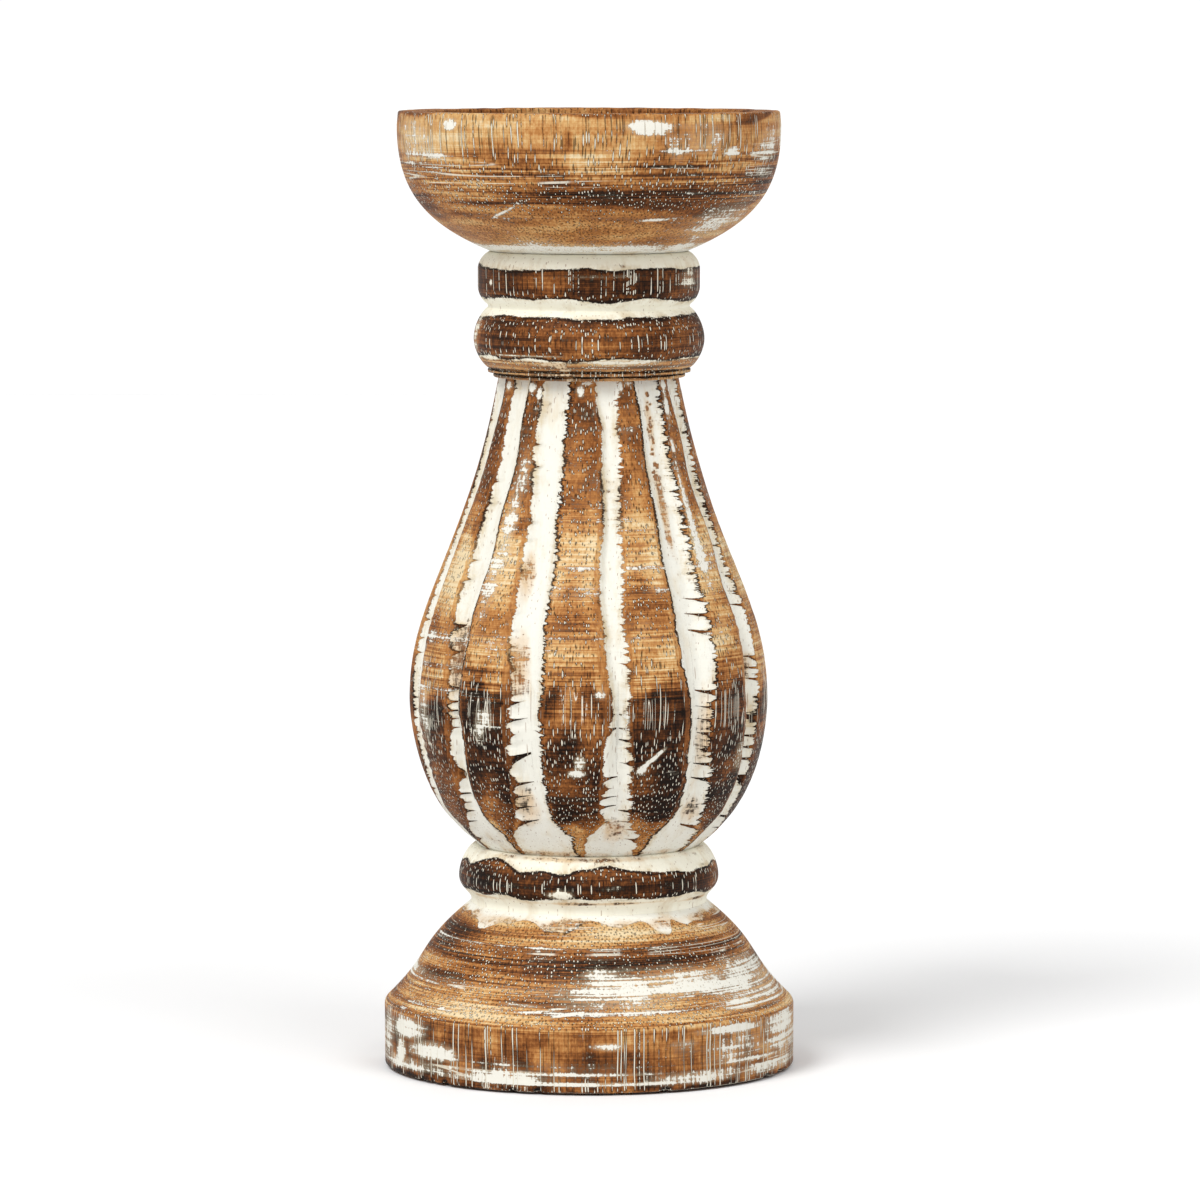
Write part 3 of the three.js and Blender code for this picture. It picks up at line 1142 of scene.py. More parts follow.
@dataclass
class AnkleRing:
    """The ankle ring: one dark bead, painted above and below."""

    node: str = "ankle_ring"
    columns: int = 360
    step: float = 0.4
    bore: float = 8.2
    foot: float = 31.4
    bead: float = 34.58
    top: float = 30.6
    # Tan wood shows through the paint in thin bands just under the dark band, at 47, and at the top
    # under the body, at 58.6.
    rubs: tuple[Patch, ...] = patches(
        (5.0, 47.2, 34.0, 0.5, 0.62), (60.0, 46.6, 16.0, 0.5, 0.55), (-55.0, 47.4, 12.0, 0.6, 0.6),
        (175.0, 47.0, 40.0, 0.6, 0.6), (6.0, 58.6, 60.0, 0.7, 0.42),
    )

    def build(self) -> bpy.types.Object:
        """Makes the surface and its fields: one band of bare wood with wandering edges.

        Returns:
            The new piece.
        """
        low, high = heights_of(self.node)
        section = Outline(self.bore, low)
        section.line(self.foot - 0.5, low).line(self.foot, low, zone=Zone.WALL)
        section.curve(
            (self.foot - 0.5, low + 2.6),
            (self.bead, low + 3.4),
            (self.bead, low + 6.8),
            self.step,
        )
        section.half_bead((self.top, high), self.step, up=False)
        section.line(self.bore, high).line(self.bore, low)
        skin = Skin.turn(section, self.columns, ring=True)
        z, angle = skin.height, skin.angle
        wall = skin.on(Zone.WALL)
        skin.radius += wall * 0.05 * skin.ripple(31, 40.0) * ease(low, low + 4.0, z)
        rise = patched(patches((2, 0, 10.0, 99.0, 1.6), (-52, 0, 14.0, 99.0, 1.8)), angle, 0.0)
        dip = patched(patches((-13, 0, 6.0, 99.0, 1.2), (60, 0, 25.0, 99.0, 0.8)), angle, 0.0)
        over = low + 11.6 + rise - dip + 0.4 * skin.around(32, 16.0)
        under = low + 4.3 + 0.35 * skin.around(33, 18.0)
        bare = np.minimum(z - under, over - z) * 1.2
        cloud = skin.ripple(34, 20.0)
        wash = patches((-13, low + 5.6, 6.0, 1.1, 1.1), (9, low + 4.2, 10.0, 0.5, 0.9))
        skin.looks = {
            "bare": np.where(wall > 0, bare, 4.0),
            "tone": 0.84 + 0.05 * cloud - 0.22 * ease(low + 9.5, low + 12.0, z),
            "wash": patched(wash, angle, z) + 0.04,
            "lime": np.where(wall > 0, 0.74 + 0.05 * cloud, 0.0),
            "sand": 0.3,
            "rim": 0.7,
            "dash": 0.3,
            "rub": patched(self.rubs, angle, z),
        }
        return skin.build("turned_ankle_ring")


@dataclass(frozen=True)
class Edge:
    """How the carver left one edge of a rib.

    Attributes:
        teeth: depth of the chisel's teeth in the lower half, in millimetres.
        ledge: depth of the long steps in the upper half, in millimetres.
        nick: depth of the fine serration, in millimetres.
        rim: how dark its outline is.
        start: the height that the teeth reach, in millimetres.
    """

    teeth: float = 0.8
    ledge: float = 0.4
    nick: float = 0.3
    rim: float = 0.4
    start: float = 122.0


@dataclass(frozen=True)
class Rib:
    """One flat rib between two flutes.

    Attributes:
        angle: where its middle is.
        width: its width against the usual one.
        left: its left edge.
        right: its right edge.
        dark: how much darker than usual its lower half is.
        shift: how far up its bands of stain are moved, in millimetres.
        crown: its width near the top against the usual one there.
    """

    angle: float
    width: float
    left: Edge
    right: Edge
    dark: float = 0.0
    shift: float = 0.0
    crown: float = 1.0


@dataclass
class FlutedBody:
    """The baluster: a pear carved with twelve flutes, painted in the flutes and stained on the ribs."""

    node: str = "fluted_body"
    columns: int = 396
    step: float = 0.6
    bottom: float = 29.4
    belly: float = 47.62
    top: float = 23.9
    socket_radius: float = 8.2
    socket_depth: float = 25.5
    sparse_mark: float = 10.5  # spacing of the chisel's marks in the upper half
    close_mark: float = 5.3  # their spacing in the lower half
    draw_count: int = 97  # how many marks an edge has before their depths repeat
    ribs: tuple[Rib, ...] = (
        Rib(-94.0, 0.94, Edge(3.4, 0.8), Edge(0.8), 0.0, 2.0),
        Rib(-62.5, 0.92, Edge(2.8, 0.4, 0.5, 0.6), Edge(3.8, 1.7, 0.2, 0.4), 0.0, -5.0),
        Rib(-36.0, 0.90, Edge(0.4, 0.3, 0.3, 0.75), Edge(5.4, 1.5, 0.3, 0.35, 98.0), 0.02, 1.0, 0.88),
        Rib(-4.3, 1.0, Edge(1.0, 0.2, 1.0, 1.0), Edge(4.0, 0.7, 0.3, 0.3, 98.0), -0.02, 0.0, 1.3),
        Rib(23.5, 0.98, Edge(2.2, 0.3, 0.9, 0.3, 112.0), Edge(1.2, 0.2, 0.3, 1.0), 0.02, 2.5),
        Rib(54.3, 0.90, Edge(4.0, 0.9, 1.2, 0.8, 128.0), Edge(1.2, 0.4, 0.4, 0.5), 0.0, 0.0),
        Rib(79.5, 0.92, Edge(3.7, 0.9, 0.9, 0.5, 128.0), Edge(0.8), 0.0, -3.0),
        Rib(110.0, 1.0, Edge(0.8, 0.3, 0.4, 0.8), Edge(3.8, 1.3, 0.3, 0.4), 0.0, 3.0),
        Rib(141.5, 0.95, Edge(4.2, 0.6, 0.8, 0.4), Edge(0.6, 0.3, 0.3, 0.9), -0.04, -2.0),
        Rib(172.5, 1.0, Edge(1.0, 0.3, 0.9, 0.8), Edge(4.6, 1.2, 0.3, 0.3), 0.02, 1.0),
        Rib(203.5, 0.96, Edge(2.8, 0.5, 0.7, 0.3), Edge(1.0, 0.2, 0.5, 0.8), 0.0, 4.0),
        Rib(235.0, 0.94, Edge(0.6, 0.3, 0.4, 0.9), Edge(4.8, 1.4, 0.3, 0.4), -0.02, -1.0),
    )
    washes: tuple[Patch, ...] = patches(
        (-37.5, 146.0, 4.4, 12.0, 0.62), (-35.5, 158.0, 4.0, 6.0, 0.44),
        (-40.0, 133.0, 4.0, 9.0, 0.42), (51.8, 146.0, 2.6, 15.0, 0.78, 0.2),
        (54.0, 177.0, 2.4, 5.0, 0.62), (52.5, 166.5, 1.8, 1.8, 0.85), (-35.5, 96.8, 3.6, 2.4, 0.66),
        (-37.5, 95.0, 2.6, 4.6, 0.5), (-66.0, 97.0, 4.4, 9.0, 0.50), (-3.0, 86.0, 2.2, 2.2, 0.92),
        (-4.2, 83.2, 3.2, 1.3, 0.84), (21.3, 86.8, 4.2, 0.85, 1.2, 0.62),
        (17.6, 83.8, 2.0, 1.2, 1.0, 0.15), (60.0, 85.0, 4.0, 5.5, 0.66), (11.5, 97.0, 1.6, 3.6, 0.75),
        (-5.4, 181.2, 2.6, 1.8, 0.64), (-1.0, 183.4, 4.0, 0.7, 0.9), (19.6, 182.6, 2.2, 1.6, 0.8),
        (25.0, 183.2, 3.0, 0.8, 0.7), (-37.6, 182.0, 3.0, 1.4, 0.72), (-32.0, 180.2, 1.6, 1.6, 0.7),
        (-60.0, 182.0, 3.6, 1.6, 0.66), (54.0, 182.4, 3.0, 1.4, 0.8), (3.5, 104.0, 1.8, 1.6, 0.62),
    )
    combs: tuple[Patch, ...] = patches(
        (-38.0, 97.0, 7.0, 8.0, 0.85), (-66.0, 99.0, 10.0, 14.0, 0.8), (-5.0, 98.0, 7.0, 7.0, 0.80),
        (21.0, 99.0, 7.0, 6.0, 0.72), (56.0, 97.0, 8.0, 7.0, 0.8), (82.0, 100.0, 8.0, 12.0, 0.8),
        (-36.0, 117.0, 7.0, 5.0, 0.5), (24.0, 118.0, 8.0, 5.0, 0.45), (110.0, 98.0, 9.0, 8.0, 0.8),
        (141.5, 96.0, 8.0, 8.0, 0.75), (172.5, 99.0, 9.0, 8.0, 0.8), (203.5, 95.0, 9.0, 8.0, 0.75),
        (235.0, 99.0, 9.0, 8.0, 0.8),
    )
    flecks: tuple[Patch, ...] = tuple(
        Patch(
            41.8 - 0.28 * mark + 1.1 * math.sin(2.3 * mark),
            180.0 - 2.0 * mark + 0.5 * math.sin(4.1 * mark),
            1.6 + 0.7 * math.sin(1.7 * mark),
            0.5 + 0.2 * math.cos(2.9 * mark),
            1.3,
            -0.14,
        )
        for mark in range(12)
    )
    rubs: tuple[Patch, ...] = patches(
        (-23.5, 73.0, 6.0, 6.0, 0.56), (-24.0, 112.0, 4.6, 11.0, 0.52),
        (-25.5, 132.0, 3.6, 10.0, 0.50), (-50.0, 112.0, 4.0, 12.0, 0.45), (10.0, 66.5, 5.0, 3.6, 0.5),
        (43.0, 72.0, 4.0, 4.0, 0.4), (41.0, 93.0, 2.6, 15.0, 0.46), (66.0, 110.0, 3.0, 14.0, 0.5),
        (40.0, 172.0, 3.5, 9.0, 0.46), (39.5, 149.0, 2.6, 12.0, 0.50), (120.0, 90.0, 5.0, 12.0, 0.5),
        (160.0, 75.0, 6.0, 7.0, 0.65), (190.0, 130.0, 4.0, 12.0, 0.5), (220.0, 85.0, 5.0, 10.0, 0.6),
        (-20.0, 60.0, 34.0, 0.8, 0.44), (34.0, 60.0, 26.0, 0.8, 0.40), (180.0, 60.0, 70.0, 0.8, 0.42),
    )
    clouds: tuple[Patch, ...] = patches(
        (22.0, 127.5, 9.0, 4.5, 0.22), (-62.0, 158.0, 9.0, 10.0, 0.16), (-42.0, 170.0, 4.0, 8.0, 0.12),
        (54.0, 128.0, 5.0, 5.0, 0.14), (150.0, 125.0, 16.0, 5.0, 0.14),
    )
    glows: tuple[Patch, ...] = patches(
        (-4.0, 99.5, 9.0, 5.5, 0.28), (-62.0, 137.0, 9.0, 7.0, 0.22),
        (-5.0, 160.5, 6.0, 2.5, 0.12, 0.2), (23.0, 156.5, 5.0, 3.0, 0.10),
        (-30.0, 171.0, 4.0, 4.0, 0.14), (56.0, 120.0, 6.0, 8.0, 0.06), (-39.0, 71.5, 8.0, 5.0, 0.34),
        (-62.0, 76.0, 9.0, 9.0, 0.18), (172.0, 98.0, 8.0, 6.0, 0.2), (205.0, 140.0, 7.0, 6.0, 0.15),
    )

    def outline(self) -> Outline:
        """Lower socket, the pear in two curves, and the upper socket.

        Returns:
            The section.
        """
        low, high = heights_of(self.node)
        section = Outline(0.0, low + self.socket_depth)
        section.line(self.socket_radius, low + self.socket_depth).line(self.socket_radius, low)
        section.line(self.bottom - 0.5, low).line(self.bottom, low, zone=Zone.WALL)
        section.curve(
            (self.belly, low + 12.0),
            (self.belly, low + 38.4),
            (self.belly, low + 39.0),
            self.step,
        )
        section.curve(
            (self.belly, low + 67.5),
            (self.top + 9.45, low + 74.6),
            (self.top, high),
            self.step,
        )
        section.line(self.socket_radius, high).line(self.socket_radius, high - self.socket_depth)
        return section.line(0.0, high - self.socket_depth)

    def half_width(self, z: Field) -> Field:
        """Half width of a rib's stained face by height, in millimetres: broad at the belly.

        Args:
            z: heights.

        Returns:
            The half widths.
        """
        heights = (59.2, 62.5, 65.2, 66.6, 70.0, 80.0, 98.0, 110.0, 125.0, 145.0, 165.0, 178.0, 184.0)
        widths = (1.1, 1.7, 2.4, 4.3, 6.9, 8.9, 9.7, 8.9, 7.2, 5.7, 3.8, 3.1, 2.9)
        return np.interp(z, heights, widths)

    def edges(self, skin: Skin) -> dict[str, Field]:
        """Finds each point's rib and how far it lies from the nearer edge of that rib.

        A rib's edge is its half width, plus a slow drift, plus a saw of long steps that widen
        downwards. The chisel's marks are counted up the edge by a rate that rises from one in
        sparse_mark above to one in close_mark below; the finish draws a spike at each whole count.

        Args:
            skin: the turned surface.

        Returns:
            Fields bare, bevel, phase, bite, nick and rim for the finish, with rib and flute for the
            other methods; flute goes from 0 at a rib's edge to 1 in the middle of the flute.
        """
        z, angle = skin.height, skin.angle
        found: dict[str, Field] = {}
        gap = np.full(z.shape, np.inf)
        usual = self.half_width(z)
        # The count of marks, worked out every half millimetre from below the body to above it.
        ladder = np.linspace(50.0, 190.0, 281)
        sparse, close = 1 / self.sparse_mark, 1 / self.close_mark
        rate = sparse + (close - sparse) * ease(134.0, 106.0, ladder)
        marks = np.cumsum(rate) * (ladder[1] - ladder[0])
        middles = np.array([rib.angle for rib in self.ribs])
        for number, rib in enumerate(self.ribs):
            off = turned(angle, rib.angle + 0.9 * Ripple(400 + number, 110.0, 6).at(z))
            others = turned(middles, rib.angle)
            for side, cut in ((-1, rib.left), (1, rib.right)):
                seed = 500 + 2 * number + (side > 0)
                lower = ease(cut.start + 8.0, cut.start - 10.0, z) * ease(61.0, 66.0, z)
                arc = np.abs(np.radians(off)) * skin.radius
                half = usual * rib.width * (1 + (rib.crown - 1) * ease(142.0, 158.0, z))
                half += 0.3 * Ripple(seed, 34.0, 8).at(z) * ease(60.0, 72.0, z)
                slant = 0.22 * (arc - half)
                count = np.interp(z - slant, ladder, marks) + 0.6 * Ripple(seed + 120, 26.0, 6).at(z)
                # Each edge's count starts elsewhere, so that no two edges line up.
                count += 3.0 * seed
                draws = np.random.default_rng(seed).uniform(0.15, 1.5, self.draw_count)
                step = 0.6 * cut.ledge * draws[np.floor(count).astype(int) % self.draw_count]
                half = half + step * (0.5 - count % 1.0)
                spike = draws[np.round(count).astype(int) % self.draw_count - 1]
                bevel = np.interp(z, (60, 72, 98, 130, 184), (0.6, 1.4, 2.3, 1.5, 0.8))
                bevel = bevel * (1 + 0.25 * side)
                to_next = np.min(side * others[side * others > 1.0])
                room = np.radians(to_next / 2) * skin.radius - half
                values = {
                    "bare": half - arc,
                    "bevel": arc - half + bevel + 0.5,
                    "phase": count,
                    "bite": spike * (cut.teeth * lower + 0.42 * cut.ledge * (1 - lower)),
                    "nick": cut.nick,
                    "rim": cut.rim,
                    "rib": number,
                    "flute": np.clip((arc - half) / np.maximum(room, 0.5), 0.0, 1.0),
                }
                nearer = (np.abs(off) < gap) & (side * off >= 0)
                for name, value in values.items():
                    found[name] = np.where(nearer, value, found.get(name, 0.0))
                gap = np.where(nearer, np.abs(off), gap)
        return found

    def carve(self, skin: Skin, found: dict[str, Field]) -> None:
        """Cuts the flutes: a bevel off each rib, a rounded hollow, and scoops between the teeth.

        Args:
            skin: the turned surface, which is changed.
            found: the fields from edges.
        """
        z = skin.height
        wall = skin.on(Zone.WALL)
        knots = (59.5, 66.0, 80.0, 98.0, 130.0, 160.0, 183.0)
        depth = np.interp(z, knots, (0.5, 1.0, 2.3, 2.8, 2.4, 1.9, 1.5))
        bevel = 0.30 * np.clip(found["bevel"] - 0.5, 0.0, 3.0)
        hollow = depth * (1 - (1 - np.clip(found["flute"] * 1.5, 0, 1)) ** 2)
        wave = np.abs(np.sin(np.pi * found["phase"]))
        scoop = 0.16 * found["bite"] * (wave - 0.5) * np.exp(-((found["bare"] / 3.0) ** 2))
        cut = bevel * np.clip(depth / 2.4, 0.3, 1.0) + hollow * 0.72 + scoop
        cut += 0.05 * skin.ripple(41, 7.0, 0.5) * ease(0.0, 1.0, found["flute"])
        skin.radius -= wall * np.clip(cut, 0.0, 3.4) * ease(59.2, 60.4, z)
        skin.radius += wall * 0.06 * skin.ripple(42, 30.0)

    def stain(self, skin: Skin, found: dict[str, Field]) -> Field:
        """Stain on the ribs: dark above, sanded pale, golden, then very dark round the belly.

        Args:
            skin: the turned surface.
            found: the fields from edges.

        Returns:
            How dark the stain is, 0 to 1.
        """
        z = skin.height
        number = found["rib"].astype(int)
        shift = np.array([rib.shift for rib in self.ribs])[number]
        dark = np.array([rib.dark for rib in self.ribs])[number]
        cloud = skin.ripple(43, 13.0)
        place = z - shift + 1.8 * skin.ripple(44, 10.0, 0.6)
        knots = (
            59, 66.5, 69, 78, 92, 102, 105.5, 112, 117.5,
            121, 127.5, 130, 144, 149, 158, 178, 183,
        )
        tones = (
            0.36, 0.42, 0.84, 0.87, 0.82, 0.80, 0.44, 0.32, 0.33,
            0.42, 0.40, 0.23, 0.19, 0.50, 0.56, 0.64, 0.55,
        )
        tone = np.interp(place, knots, tones) + 0.07 * cloud
        tone += dark * 2.0 * ease(110.0, 100.0, z) + patched(self.clouds, skin.angle, z)
        return tone - patched(self.glows, skin.angle, z)

    def build(self) -> bpy.types.Object:
        """Makes the carved surface and its fields.

        Returns:
            The new piece.
        """
        skin = Skin.turn(self.outline(), self.columns)
        z, angle = skin.height, skin.angle
        wall = skin.on(Zone.WALL)
        found = self.edges(skin)
        tone = self.stain(skin, found)
        self.carve(skin, found)
        back = Scatter(45, 18, (76.0, 178.0), (2.0, 6.0), (2.0, 9.0), (0.4, 0.8)).patches()
        wash = np.maximum(patched(self.washes, angle, z), patched(back, angle, z))
        light = ease(0.5, 0.25, tone)
        sand_knots = (60, 68, 72, 98, 105, 117, 122, 128, 148, 152)
        sands = (0.5, 0.2, 0.25, 0.35, 0.8, 0.75, 0.4, 0.7, 0.62, 0.2)
        skin.looks = {
            "bare": np.where(wall > 0, found["bare"], 4.0),
            "bevel": found["bevel"] * wall,
            "phase": found["phase"],
            "bite": found["bite"] * wall,
            "nick": found["nick"],
            "rim": found["rim"],
            "tone": np.where(wall > 0, tone, 0.35),
            "wash": wash + 0.06 * light + 0.14 * ease(112.0, 118.0, z),
            "rub": patched(self.rubs + self.flecks, angle, z),
            "lime": np.where(wall > 0, 0.34 + 0.46 * ease(0.3, 0.7, tone), 0.0),
            "sand": np.interp(z, sand_knots, sands),
            "comb": patched(self.combs, angle, z),
            "dash": np.interp(z, (84, 90, 102, 108), (0.8, 0.2, 0.2, 1.0)),
        }
        return skin.build("carved_body")


@dataclass
class Base:
    """The base: a streaked slope, a pale arris and an upright side with long limed pores."""

    node: str = "base"
    columns: int = 440
    step: float = 0.42
    radius: float = 54.62
    side: float = 16.6
    top: float = 31.4
    socket_radius: float = 8.2
    socket_depth: float = 21.5
    felt_margin: float = 5.8
    felt_sink: float = 1.0
    washes: tuple[Patch, ...] = patches(
        (26, 27.4, 40.0, 4.2, 0.74), (8, 24.8, 30.0, 3.2, 0.62), (9, 28.0, 13.0, 1.9, 0.90),
        (40, 26.0, 14.0, 1.8, 0.90), (64, 26.0, 28.0, 6.5, 0.72), (4, 30.0, 8.0, 1.4, 0.88),
        (-60, 24.0, 26.0, 5.0, 0.24), (-61, 13.2, 9.5, 3.0, 1.05), (-65, 7.5, 3.6, 4.4, 0.9),
        (-50, 8.8, 12.0, 2.8, 0.95), (-24, 4.0, 16.0, 1.6, 0.75), (33, 3.8, 18.0, 1.8, 0.75),
        (66, 3.6, 22.0, 2.0, 0.72), (5.5, 12.8, 5.0, 1.2, 0.85), (27, 12.9, 6.0, 2.0, 0.55),
        (44, 15.2, 15.0, 1.5, 0.85), (70, 14.0, 17.0, 3.0, 0.78), (60, 9.4, 16.0, 2.0, 0.55),
        (-80, 10.0, 10.0, 7.0, 0.6), (-20, 6.0, 60.0, 3.0, 0.26), (-60, 4.4, 24.0, 2.0, 0.6),
        (-76, 12.0, 16.0, 4.0, 0.5), (76, 9.0, 22.0, 6.0, 0.56), (44, 8.0, 14.0, 3.0, 0.46),
        (-18, 5.4, 44.0, 0.5, 0.85), (-6, 3.0, 46.0, 0.6, 0.9), (52, 6.6, 22.0, 0.6, 0.85),
        (50, 11.0, 26.0, 4.0, 0.42), (-13, 21.6, 8.0, 0.35, 0.80, 0.10),
        (-7, 20.6, 6.0, 0.3, 0.75, 0.16), (-20, 22.6, 7.0, 0.3, 0.70, -0.05),
    )

    def outline(self) -> Outline:
        """Underside with the felt's recess, the side, the arris, the slope and the socket.

        Returns:
            The section.
        """
        low, high = heights_of(self.node)
        seat = self.radius - self.felt_margin
        edge = low + self.side
        section = Outline(0.0, low + self.felt_sink)
        section.line(seat, low + self.felt_sink, 4.0, Zone.UNDERSIDE)
        section.line(seat, low, 0.5, Zone.UNDERSIDE)
        section.line(self.radius - 0.9, low, 0.6, Zone.UNDERSIDE)
        section.curve(
            (self.radius - 0.3, low),
            (self.radius, low + 0.3),
            (self.radius, low + 0.9),
            0.25,
        )
        section.line(self.radius, edge - 0.9, self.step, Zone.WALL)
        section.curve(
            (self.radius, edge + 0.1),
            (self.radius - 0.3, edge + 0.6),
            (self.radius - 1.0, edge + 1.2),
            0.3,
        )
        section.curve(
            (self.radius - 13.0, edge + 13.0),
            (self.top + 15.0, high - 12.2),
            (self.top, high),
            self.step,
        )
        section.line(self.socket_radius, high).line(self.socket_radius, high - self.socket_depth)
        return section.line(0.0, high - self.socket_depth)

    def build(self) -> bpy.types.Object:
        """Makes the surface, with a slightly uneven side and small chips along its lower edge.

        Returns:
            The new piece.
        """
        low, high = heights_of(self.node)
        skin = Skin.turn(self.outline(), self.columns)
        z, angle = skin.height, skin.angle
        wall = skin.on(Zone.WALL)
        sway = (0.05 * skin.ripple(51, 50.0) - 0.05) * ease(high, high - 5.0, z)
        skin.radius += wall * sway
        edge = ease(low + 1.6, low, z) * ease(self.radius - 3.0, self.radius - 0.9, skin.radius)
        chips = np.clip(skin.around(52, 6.0) - 0.7, 0, 1.6)
        skin.height += edge * 0.35 * chips
        skin.radius -= edge * 0.40 * chips
        skin.looks = self.fields(skin, z, angle, chips * edge)
        return skin.build("turned_base")

    def fields(
        self, skin: Skin, z: Field, angle: Field, chips: Field
    ) -> dict[str, Field | float]:
        """Where the stain, the lime, the rings and the paint lie, with painted shade along the lower
        edge and in its chips.

        Args:
            skin: the surface.
            z: heights.
            angle: angles.
            chips: how deeply each point of the lower edge is chipped; the chips are darkened as painted
                shade.

        Returns:
            The named fields of the finish.
        """
        low, high = heights_of(self.node)
        wall = skin.on(Zone.WALL)
        cloud = skin.ripple(53, 30.0, 1.5)
        streak = skin.ripple(54, 42.0, 9.0, 30)
        drips = patched(patches(
            (-50, 0, 6.5, 99.0, 3.0), (-14, 0, 9.0, 99.0, 1.9), (33, 0, 5.0, 99.0, 3.0),
            (52, 0, 9.0, 99.0, 1.2), (86, 0, 10.0, 99.0, 1.4), (140, 0, 7.0, 99.0, 1.5),
            (205, 0, 5.0, 99.0, 1.8),
        ), angle, 0.0)
        paint_line = high - 1.8 - drips + 0.35 * skin.around(55, 12.0)
        # The 0.90 at the very bottom darkens the lower edge: painted contact shadow.
        knots = (low, 2.0, 8.0, 15.0, 16.6, 18.4, 20.5, 23.0, 27.0, 31.0, 34.5, 37.5, 42.0)
        tones = (0.90, 0.60, 0.56, 0.58, 0.46, 0.30, 0.38, 0.50, 0.56, 0.60, 0.52, 0.32, 0.24)
        tone = np.interp(z + 0.7 * cloud, knots, tones) + 0.05 * cloud
        mottle = skin.ripple(58, 9.0) * ease(17.0, 14.0, z)
        tone += 0.12 * ease(-30.0, -50.0, angle) * ease(17.0, 15.0, z)
        tone += 0.09 * mottle
        tone += 0.10 * streak * ease(16.5, 20.0, z)
        dark = patched(patches(
            (48, 34.0, 30.0, 3.0, 0.25), (0, 31.8, 40.0, 2.0, 0.12), (-72, 38.0, 20.0, 4.0, 0.42),
            (-50, 28.5, 26.0, 5.0, 0.10), (80, 38.0, 12.0, 3.0, 0.2), (190, 34.0, 50.0, 3.5, 0.25),
        ), angle, z)
        wash = patched(self.washes, angle, z)
        slope_back = Scatter(56, 6, (21.0, 31.0), (12.0, 30.0), (2.0, 4.0), (0.6, 1.0)).patches()
        side_back = Scatter(57, 14, (2.5, 15.5), (4.0, 13.0), (1.2, 2.6), (0.8, 1.15)).patches()
        wash = np.maximum(wash, patched(slope_back + side_back, angle, z))
        rings = ease(17.5, 19.5, z)
        right = ease(20.0, 60.0, angle) * rings
        return {
            "bare": np.where(wall > 0, (paint_line - z) * 1.5, 8.0),
            # Chipped spots on the lower edge are darkened: painted shade in the chips.
            "tone": np.where(wall > 0, tone + dark + 0.5 * chips, 0.62 + 0.05 * cloud),
            "wash": (wash + (0.05 + 0.10 * np.clip(streak, 0, 1)) * rings) * wall,
            "lime": wall * np.interp(z, (0, 17, 18, 30, 35, 38), (0.78, 0.78, 0.5, 0.55, 0.5, 0.1)),
            "sand": np.interp(z, (0, 15.5, 18.0, 36.0, 42.0), (0.25, 0.25, 1.0, 0.9, 0.4)),
            "scratch": wall * (0.36 * rings + 0.4 * right + 0.75 * ease(8.5, 5.0, z)),
            "comb": wall * (1 - rings) * (0.24 + 0.12 * cloud),
            "dash": wall * rings * 0.4,
            "rim": 0.2,
            "rub": wall * 0.45 * ease(high - 5.0, high - 2.6, z) * ease(high, high - 2.0, z),
        }


@dataclass
class FeltDisc:
    """The felt under the base: a disc of pressed felt, a little fuzzy at its edge."""

    node: str = "felt_disc"
    columns: int = 240
    round_over: float = 0.3
    inset: float = 0.1

    def build(self) -> bpy.types.Object:
        """Makes the disc with a soft edge and a faintly uneven face.

        Returns:
            The new piece.
        """
        low, high = heights_of(self.node)
        radius = radius_of(self.node) - self.inset
        soft = self.round_over
        section = Outline(0.0, low)
        section.line(radius - soft, low, 1.6, Zone.UNDERSIDE)
        section.line(radius, low + soft, 0.2, Zone.WALL)
        section.line(radius, high - soft, 0.3, Zone.WALL)
        section.line(radius - soft, high, 0.2, Zone.WALL)
        section.line(0.0, high, 6.0)
        skin = Skin.turn(section, self.columns)
        skin.radius += skin.on(Zone.WALL) * 0.06 * skin.around(61, 1.8, 30)
        under = skin.on(Zone.UNDERSIDE) * ease(0.0, 6.0, radius - skin.radius)
        skin.height += under * 0.05 * (1 + np.clip(skin.around(62, 9.0), -1, 1))
        return skin.build("felt_pad")


# ---- The candlestick and its surroundings -------------------------------------------------------


@dataclass
class Candlestick:
    """The whole object: builds each piece, dresses it and puts it on the frame's one body."""

    dowels: tuple[str, ...] = ("neck_dowel", "ankle_dowel")

    def build(self) -> list[bpy.types.Object]:
        """Builds the pieces from the top down.

        Returns:
            The new pieces.
        """
        # A brighter paint for the collar and the ankle ring: painted light, lifting the shade in their
        # coves.
        paint_lifted_against_cove_shade = paint_chip(255, 251, 233)
        makers: tuple[tuple[Any, WornPaint | Felt, str], ...] = (
            (Cup(), WornPaint("limed_cup_wood", vessel=0.8), "cup_wood"),
            (Collar(), WornPaint("limed_collar_wood", paint_lifted_against_cove_shade), "collar_wood"),
            (FlutedBody(), WornPaint("painted_body_wood", vessel=0.69), "body_wood"),
            (AnkleRing(), WornPaint("limed_ring_wood", paint_lifted_against_cove_shade), "ring_wood"),
            (Base(), WornPaint("limed_base_wood", wander=0.6), "base_wood"),
            (FeltDisc(), Felt(), "black_felt"),
        )
        pieces = []
        for maker, finish, slot in makers:
            piece = dress(maker.build(), finish.material(), maker.node)
            log.info("%s stands for %s with %d faces", piece.name, maker.node, len(piece.data.polygons))
            pieces.append(piece)
        self.lay_felt(pieces[-1])
        beech = Beech().material()
        for name in self.dowels:
            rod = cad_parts[name]
            rod.data.materials.clear()
            rod.data.materials.append(beech)
            log.info("%s is beech", name)
        return pieces

    @staticmethod
    def lay_felt(felt: bpy.types.Object) -> None:
        """Args:
            felt: the felt's piece; not used.
        """
        radius = radius_of("felt_disc") * MM


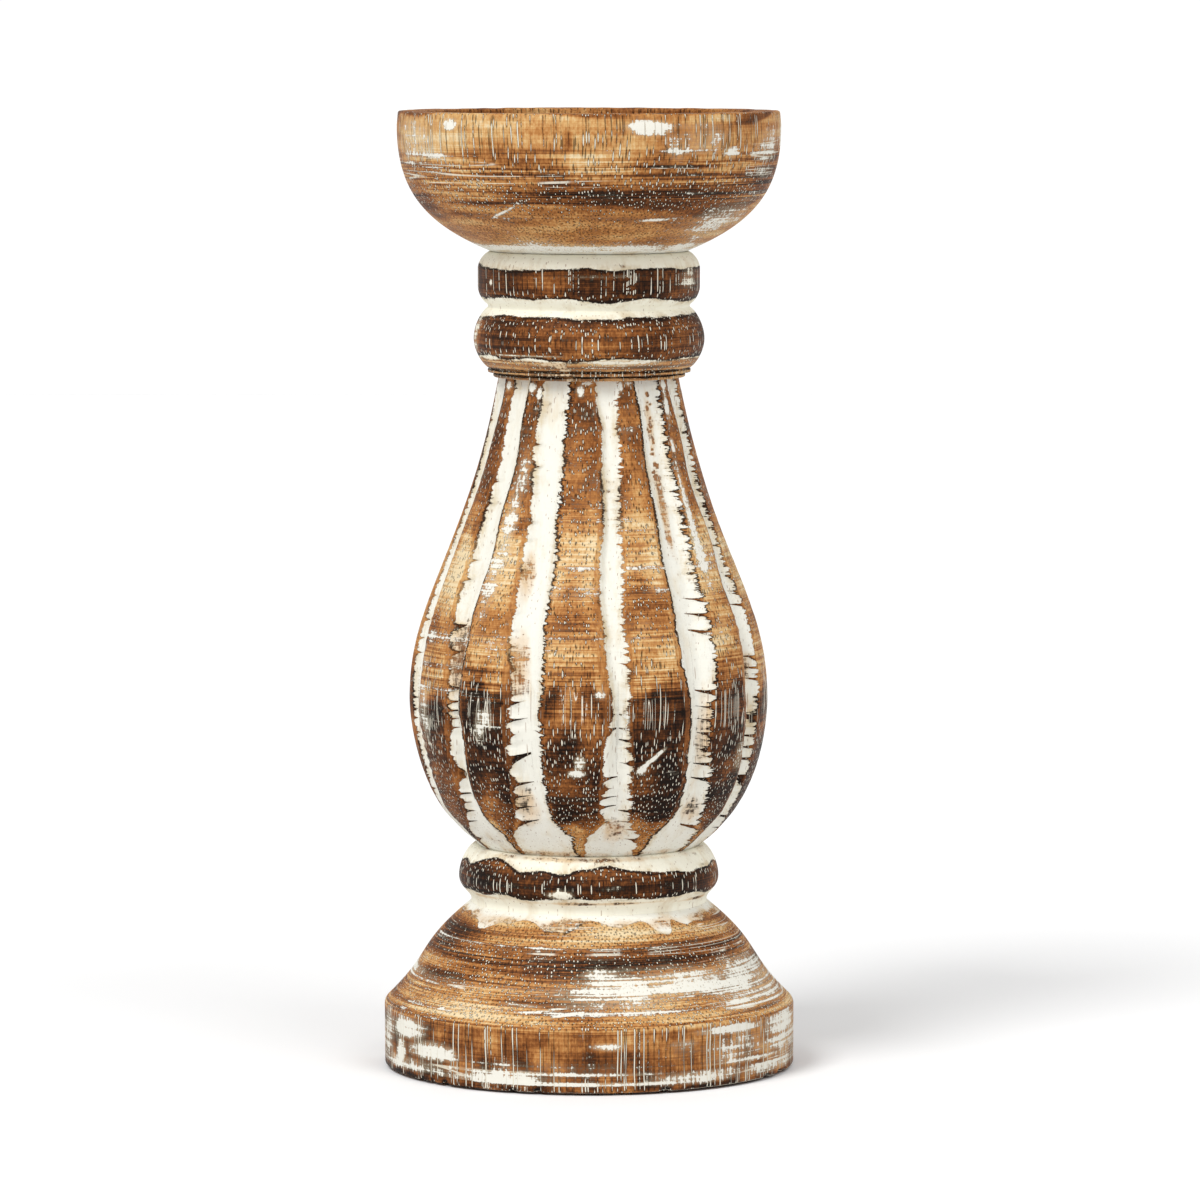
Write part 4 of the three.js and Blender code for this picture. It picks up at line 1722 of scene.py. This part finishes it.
@dataclass
class Studio:
    """A pale floor, soft lights and the camera.

    Attributes:
        eye: where the camera stands, in metres.
        pitch: degrees that it looks down.
        yaw: degrees that it looks to the right.
        view_angle: width of its view, in degrees.
        floor_inner: half the side of the floor's middle square, in metres.
        floor_outer: half the side of the whole floor, in metres.
        sky: strength of the even white light from all round.
        lights: name, side, height, spread and power of each lamp.
    """

    eye: tuple[float, float, float] = (0.0, -1.7419, 0.2830)
    pitch: float = 5.208
    yaw: float = 0.096
    view_angle: float = 10.417
    floor_inner: float = 3.0
    floor_outer: float = 30000.0
    sky: float = 0.66
    lights: tuple[tuple[str, float, float, float, float], ...] = (
        ("key", -38.0, 48.0, 24.0, 1.80),
        ("fill", 39.0, 44.0, 30.0, 0.66),
    )

    def camera(self) -> None:
        """Looks slightly down from the front, with the candlestick a little left of the middle."""
        data = bpy.data.cameras.new("camera")
        data.sensor_width = 36.0
        data.clip_end = 2 * self.floor_outer
        data.lens = data.sensor_width / 2 / math.tan(math.radians(self.view_angle) / 2)
        camera = bpy.data.objects.new("camera", data)
        camera.location = self.eye
        camera.rotation_euler = (math.radians(90 - self.pitch), 0.0, -math.radians(self.yaw))
        bpy.context.scene.collection.objects.link(camera)
        bpy.context.scene.camera = camera

    def floor(self) -> None:
        """A plain pale floor under the felt, so wide that its far edge can't be seen."""
        square = np.array([(-1, -1, 0), (1, -1, 0), (1, 1, 0), (-1, 1, 0)], float)
        corners = np.concatenate([square * self.floor_inner, square * self.floor_outer])
        sides = [(k, (k + 1) % 4, (k + 1) % 4 + 4, k + 4) for k in range(4)]
        mesh = bpy.data.meshes.new("floor")
        mesh.from_pydata(corners.tolist(), [], [(0, 1, 2, 3)] + [side[::-1] for side in sides])
        floor = bpy.data.objects.new("floor", mesh)
        bpy.context.scene.collection.objects.link(floor)
        graph = Graph("studio_floor")
        mesh.materials.append(graph.finish((0.88, 0.88, 0.88), 0.9, None, 0.0))

    def light(self, name: str, side: float, height: float, spread: float, power: float) -> None:
        """A far soft light that shines evenly from one direction.

        Args:
            name: its name.
            side: degrees round from the front, positive towards +X.
            height: degrees above the floor.
            spread: how wide it looks, in degrees, which softens its shadows.
            power: its power in watts per square metre.
        """
        data = bpy.data.lights.new(name, "SUN")
        data.angle = math.radians(spread)
        data.energy = power
        lamp = bpy.data.objects.new(name, data)
        lamp.rotation_euler = (math.radians(90 - height), 0.0, math.radians(side))
        bpy.context.scene.collection.objects.link(lamp)

    def build(self) -> None:
        """Sets up the camera, the floor, the sky and the lights."""
        self.camera()
        self.floor()
        world = bpy.data.worlds.new("studio")
        world.use_nodes = True
        background = world.node_tree.nodes["Background"]
        background.inputs["Color"].default_value = (1.0, 1.0, 1.0, 1.0)
        background.inputs["Strength"].default_value = self.sky
        scene = bpy.context.scene
        scene.world = world
        scene.view_settings.view_transform = "Standard"
        for lamp in self.lights:
            self.light(*lamp)


def main() -> None:
    """Builds the studio and the candlestick, and logs each piece."""
    logging.basicConfig(level=logging.INFO, format="%(name)s: %(message)s")
    Studio().build()
    Candlestick().build()


if __name__ == "__main__":
    main()
